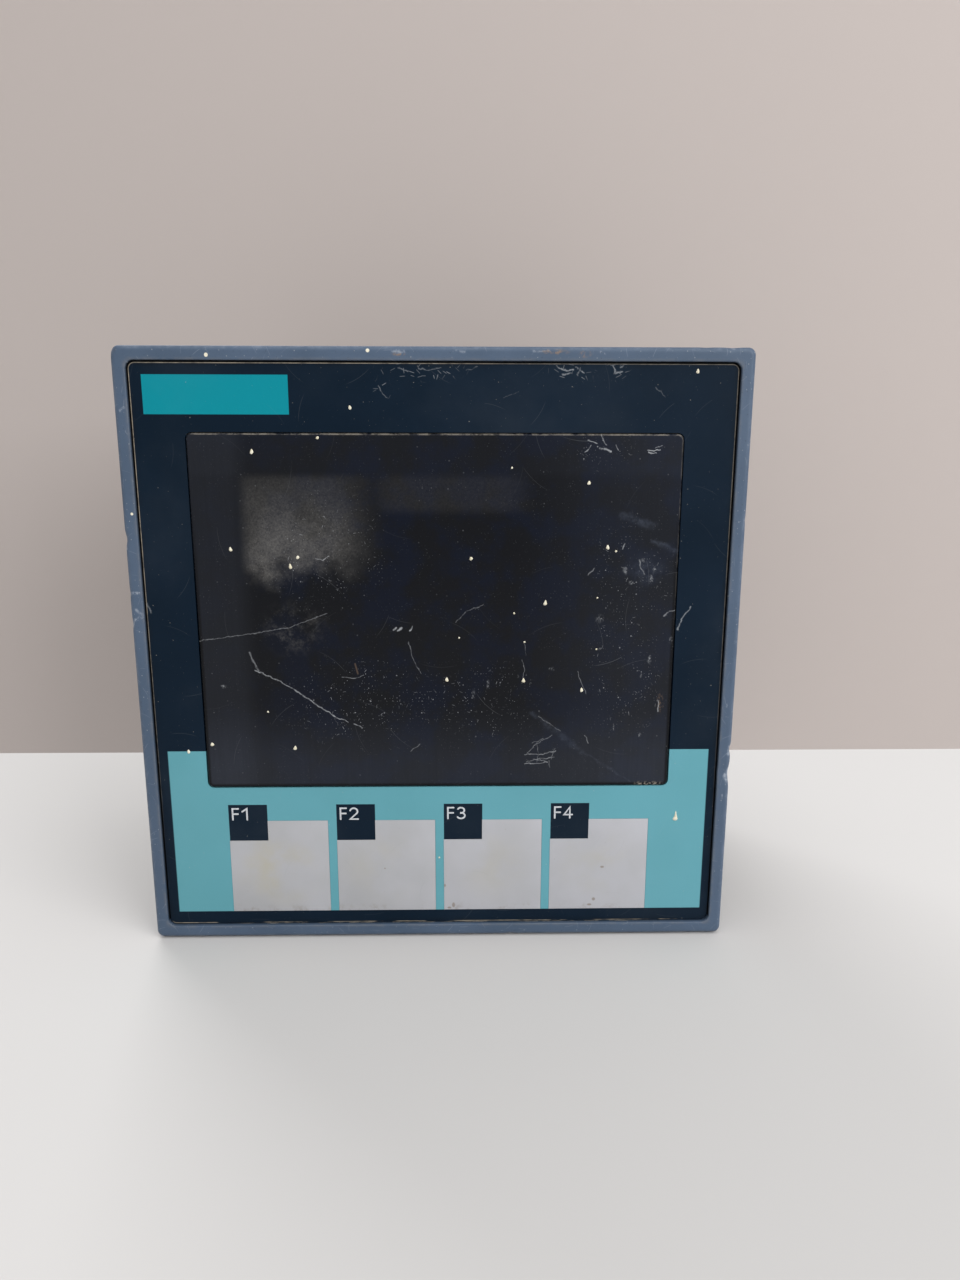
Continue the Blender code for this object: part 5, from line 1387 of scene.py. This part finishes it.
# %% Plug screws and cages
plug_low, plug_high = [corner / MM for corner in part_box("signal_plug")]
PLUG_PITCH, PLUG_POLES, PLUG_ROW = 5.0, 5, 2.04
HEAD_RADIUS, HEAD_SLOT, HEAD_TOP, HEAD_FOOT = 1.3, 0.22, 23.6, 22.5
HEAD_ROWS = [HEAD_FOOT, HEAD_TOP - 0.2, HEAD_TOP - 0.06, HEAD_TOP, HEAD_TOP]
HEAD_PULL = [1, 1, 0.97, 0.88, 0.0]
CAGE_OUTER, CAGE_INNER, CAGE_TOP, CAGE_FOOT = 1.39, 1.05, 27.2, 23.0
CAGE_CORNER = 0.25


def half_moons(turned):
    """Both halves of a slotted head, turned by an angle: a chord and an arc, in rings from foot to top."""
    limit = math.acos(HEAD_SLOT / HEAD_RADIUS)
    angle = np.linspace(-limit, limit, 17)
    pulled = np.array(HEAD_PULL)[:, None]
    middle = 0.45 * HEAD_RADIUS
    x = middle + (HEAD_RADIUS * np.cos(angle) - middle) * pulled
    z = HEAD_RADIUS * np.sin(angle) * pulled
    y = np.broadcast_to(np.array(HEAD_ROWS)[:, None], x.shape)
    half = np.stack([x, y, z], -1)
    both = np.stack([half, half * (-1, 1, -1)])
    cosine, sine = math.cos(turned), math.sin(turned)
    return both @ np.array([[cosine, 0, sine], [0, 1, 0], [-sine, 0, cosine]])


def cage():
    """A square tube: a section of four corners carried round a square with small corners."""
    lead, normal = walk_round(2, 4)
    half = np.array([CAGE_OUTER, CAGE_OUTER, CAGE_INNER, CAGE_INNER])[:, None, None]
    flat = (half - CAGE_CORNER) * lead + CAGE_CORNER * normal
    depth = np.array([CAGE_FOOT, CAGE_TOP, CAGE_TOP, CAGE_FOOT])[:, None]
    return np.stack([flat[..., 0], np.broadcast_to(depth, flat.shape[:2]), flat[..., 1]], -1)


pole_x = (plug_low.x + plug_high.x) / 2 + PLUG_PITCH * (np.arange(PLUG_POLES) - (PLUG_POLES - 1) / 2)
plug_z = (plug_low.z + plug_high.z) / 2
slot_turns = np.random.default_rng(7).uniform(0, np.pi, PLUG_POLES)
heads = np.concatenate([half_moons(t) + (x, 0, plug_z + PLUG_ROW) for x, t in zip(pole_x, slot_turns)])
from_points("plug_screws", heads * MM, gathered(heads), screw_metal, "screw")
cages = np.stack([cage() + (x, 0, plug_z - PLUG_ROW) for x in pole_x])
count = cages[0][..., 0].size
cage_faces = np.concatenate([sheet_faces(4, cages.shape[2], True) + k * count for k in range(PLUG_POLES)])
from_points("plug_cages", cages * MM, cage_faces, jack_metal, "screw")
print("plug screws and cages:", PLUG_POLES)

# %% [markdown]
# ## Pieces kept from the CAD model
# Everything else already has the right shape: boards, transformers, switches and the like sit behind the
# housing and are glimpsed only through its vents. They keep their meshes and get their finishes.

# %% Finishes of the kept nodes
def lit_pane(name, colour, roughness):
    """A dark or white optical pane: a plain colour with a faint drift and a soft sheen."""
    finish = Finish(name, Specular_IOR_Level=0.5)
    drift = grain(finish, 12, 3)
    return finish.surface(
        Base_Color=mixed(finish, colour, toned(colour, 0.8), drift),
        Roughness=drift * 0.08 + roughness,
    )


KEPT = {
    "key_plunger": plunger_plastic, "switch_stem": stem_plastic, "switch_body": switch_plastic,
    "module_frame": sheet_metal, "module_glass": lit_pane("display_glass", screen(30, 34, 36), 0.06),
    "module_backlight": lit_pane("backlight_white", screen(224, 224, 220), 0.35),
    "display_board": board_resist, "terminal_board": board_resist, "current_transformer": ring_potting,
    "current_bar": copper_metal, "supply_transformer": core_iron, "capacitor": can_sleeve,
    "board_link": link_plastic,
}
kept = 0
for node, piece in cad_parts.items():
    family = next((key for key in KEPT if node.startswith(key)), None)
    if family:
        piece.data.materials.clear()
        piece.data.materials.append(KEPT[family])
        kept += 1
print("CAD nodes kept:", kept)
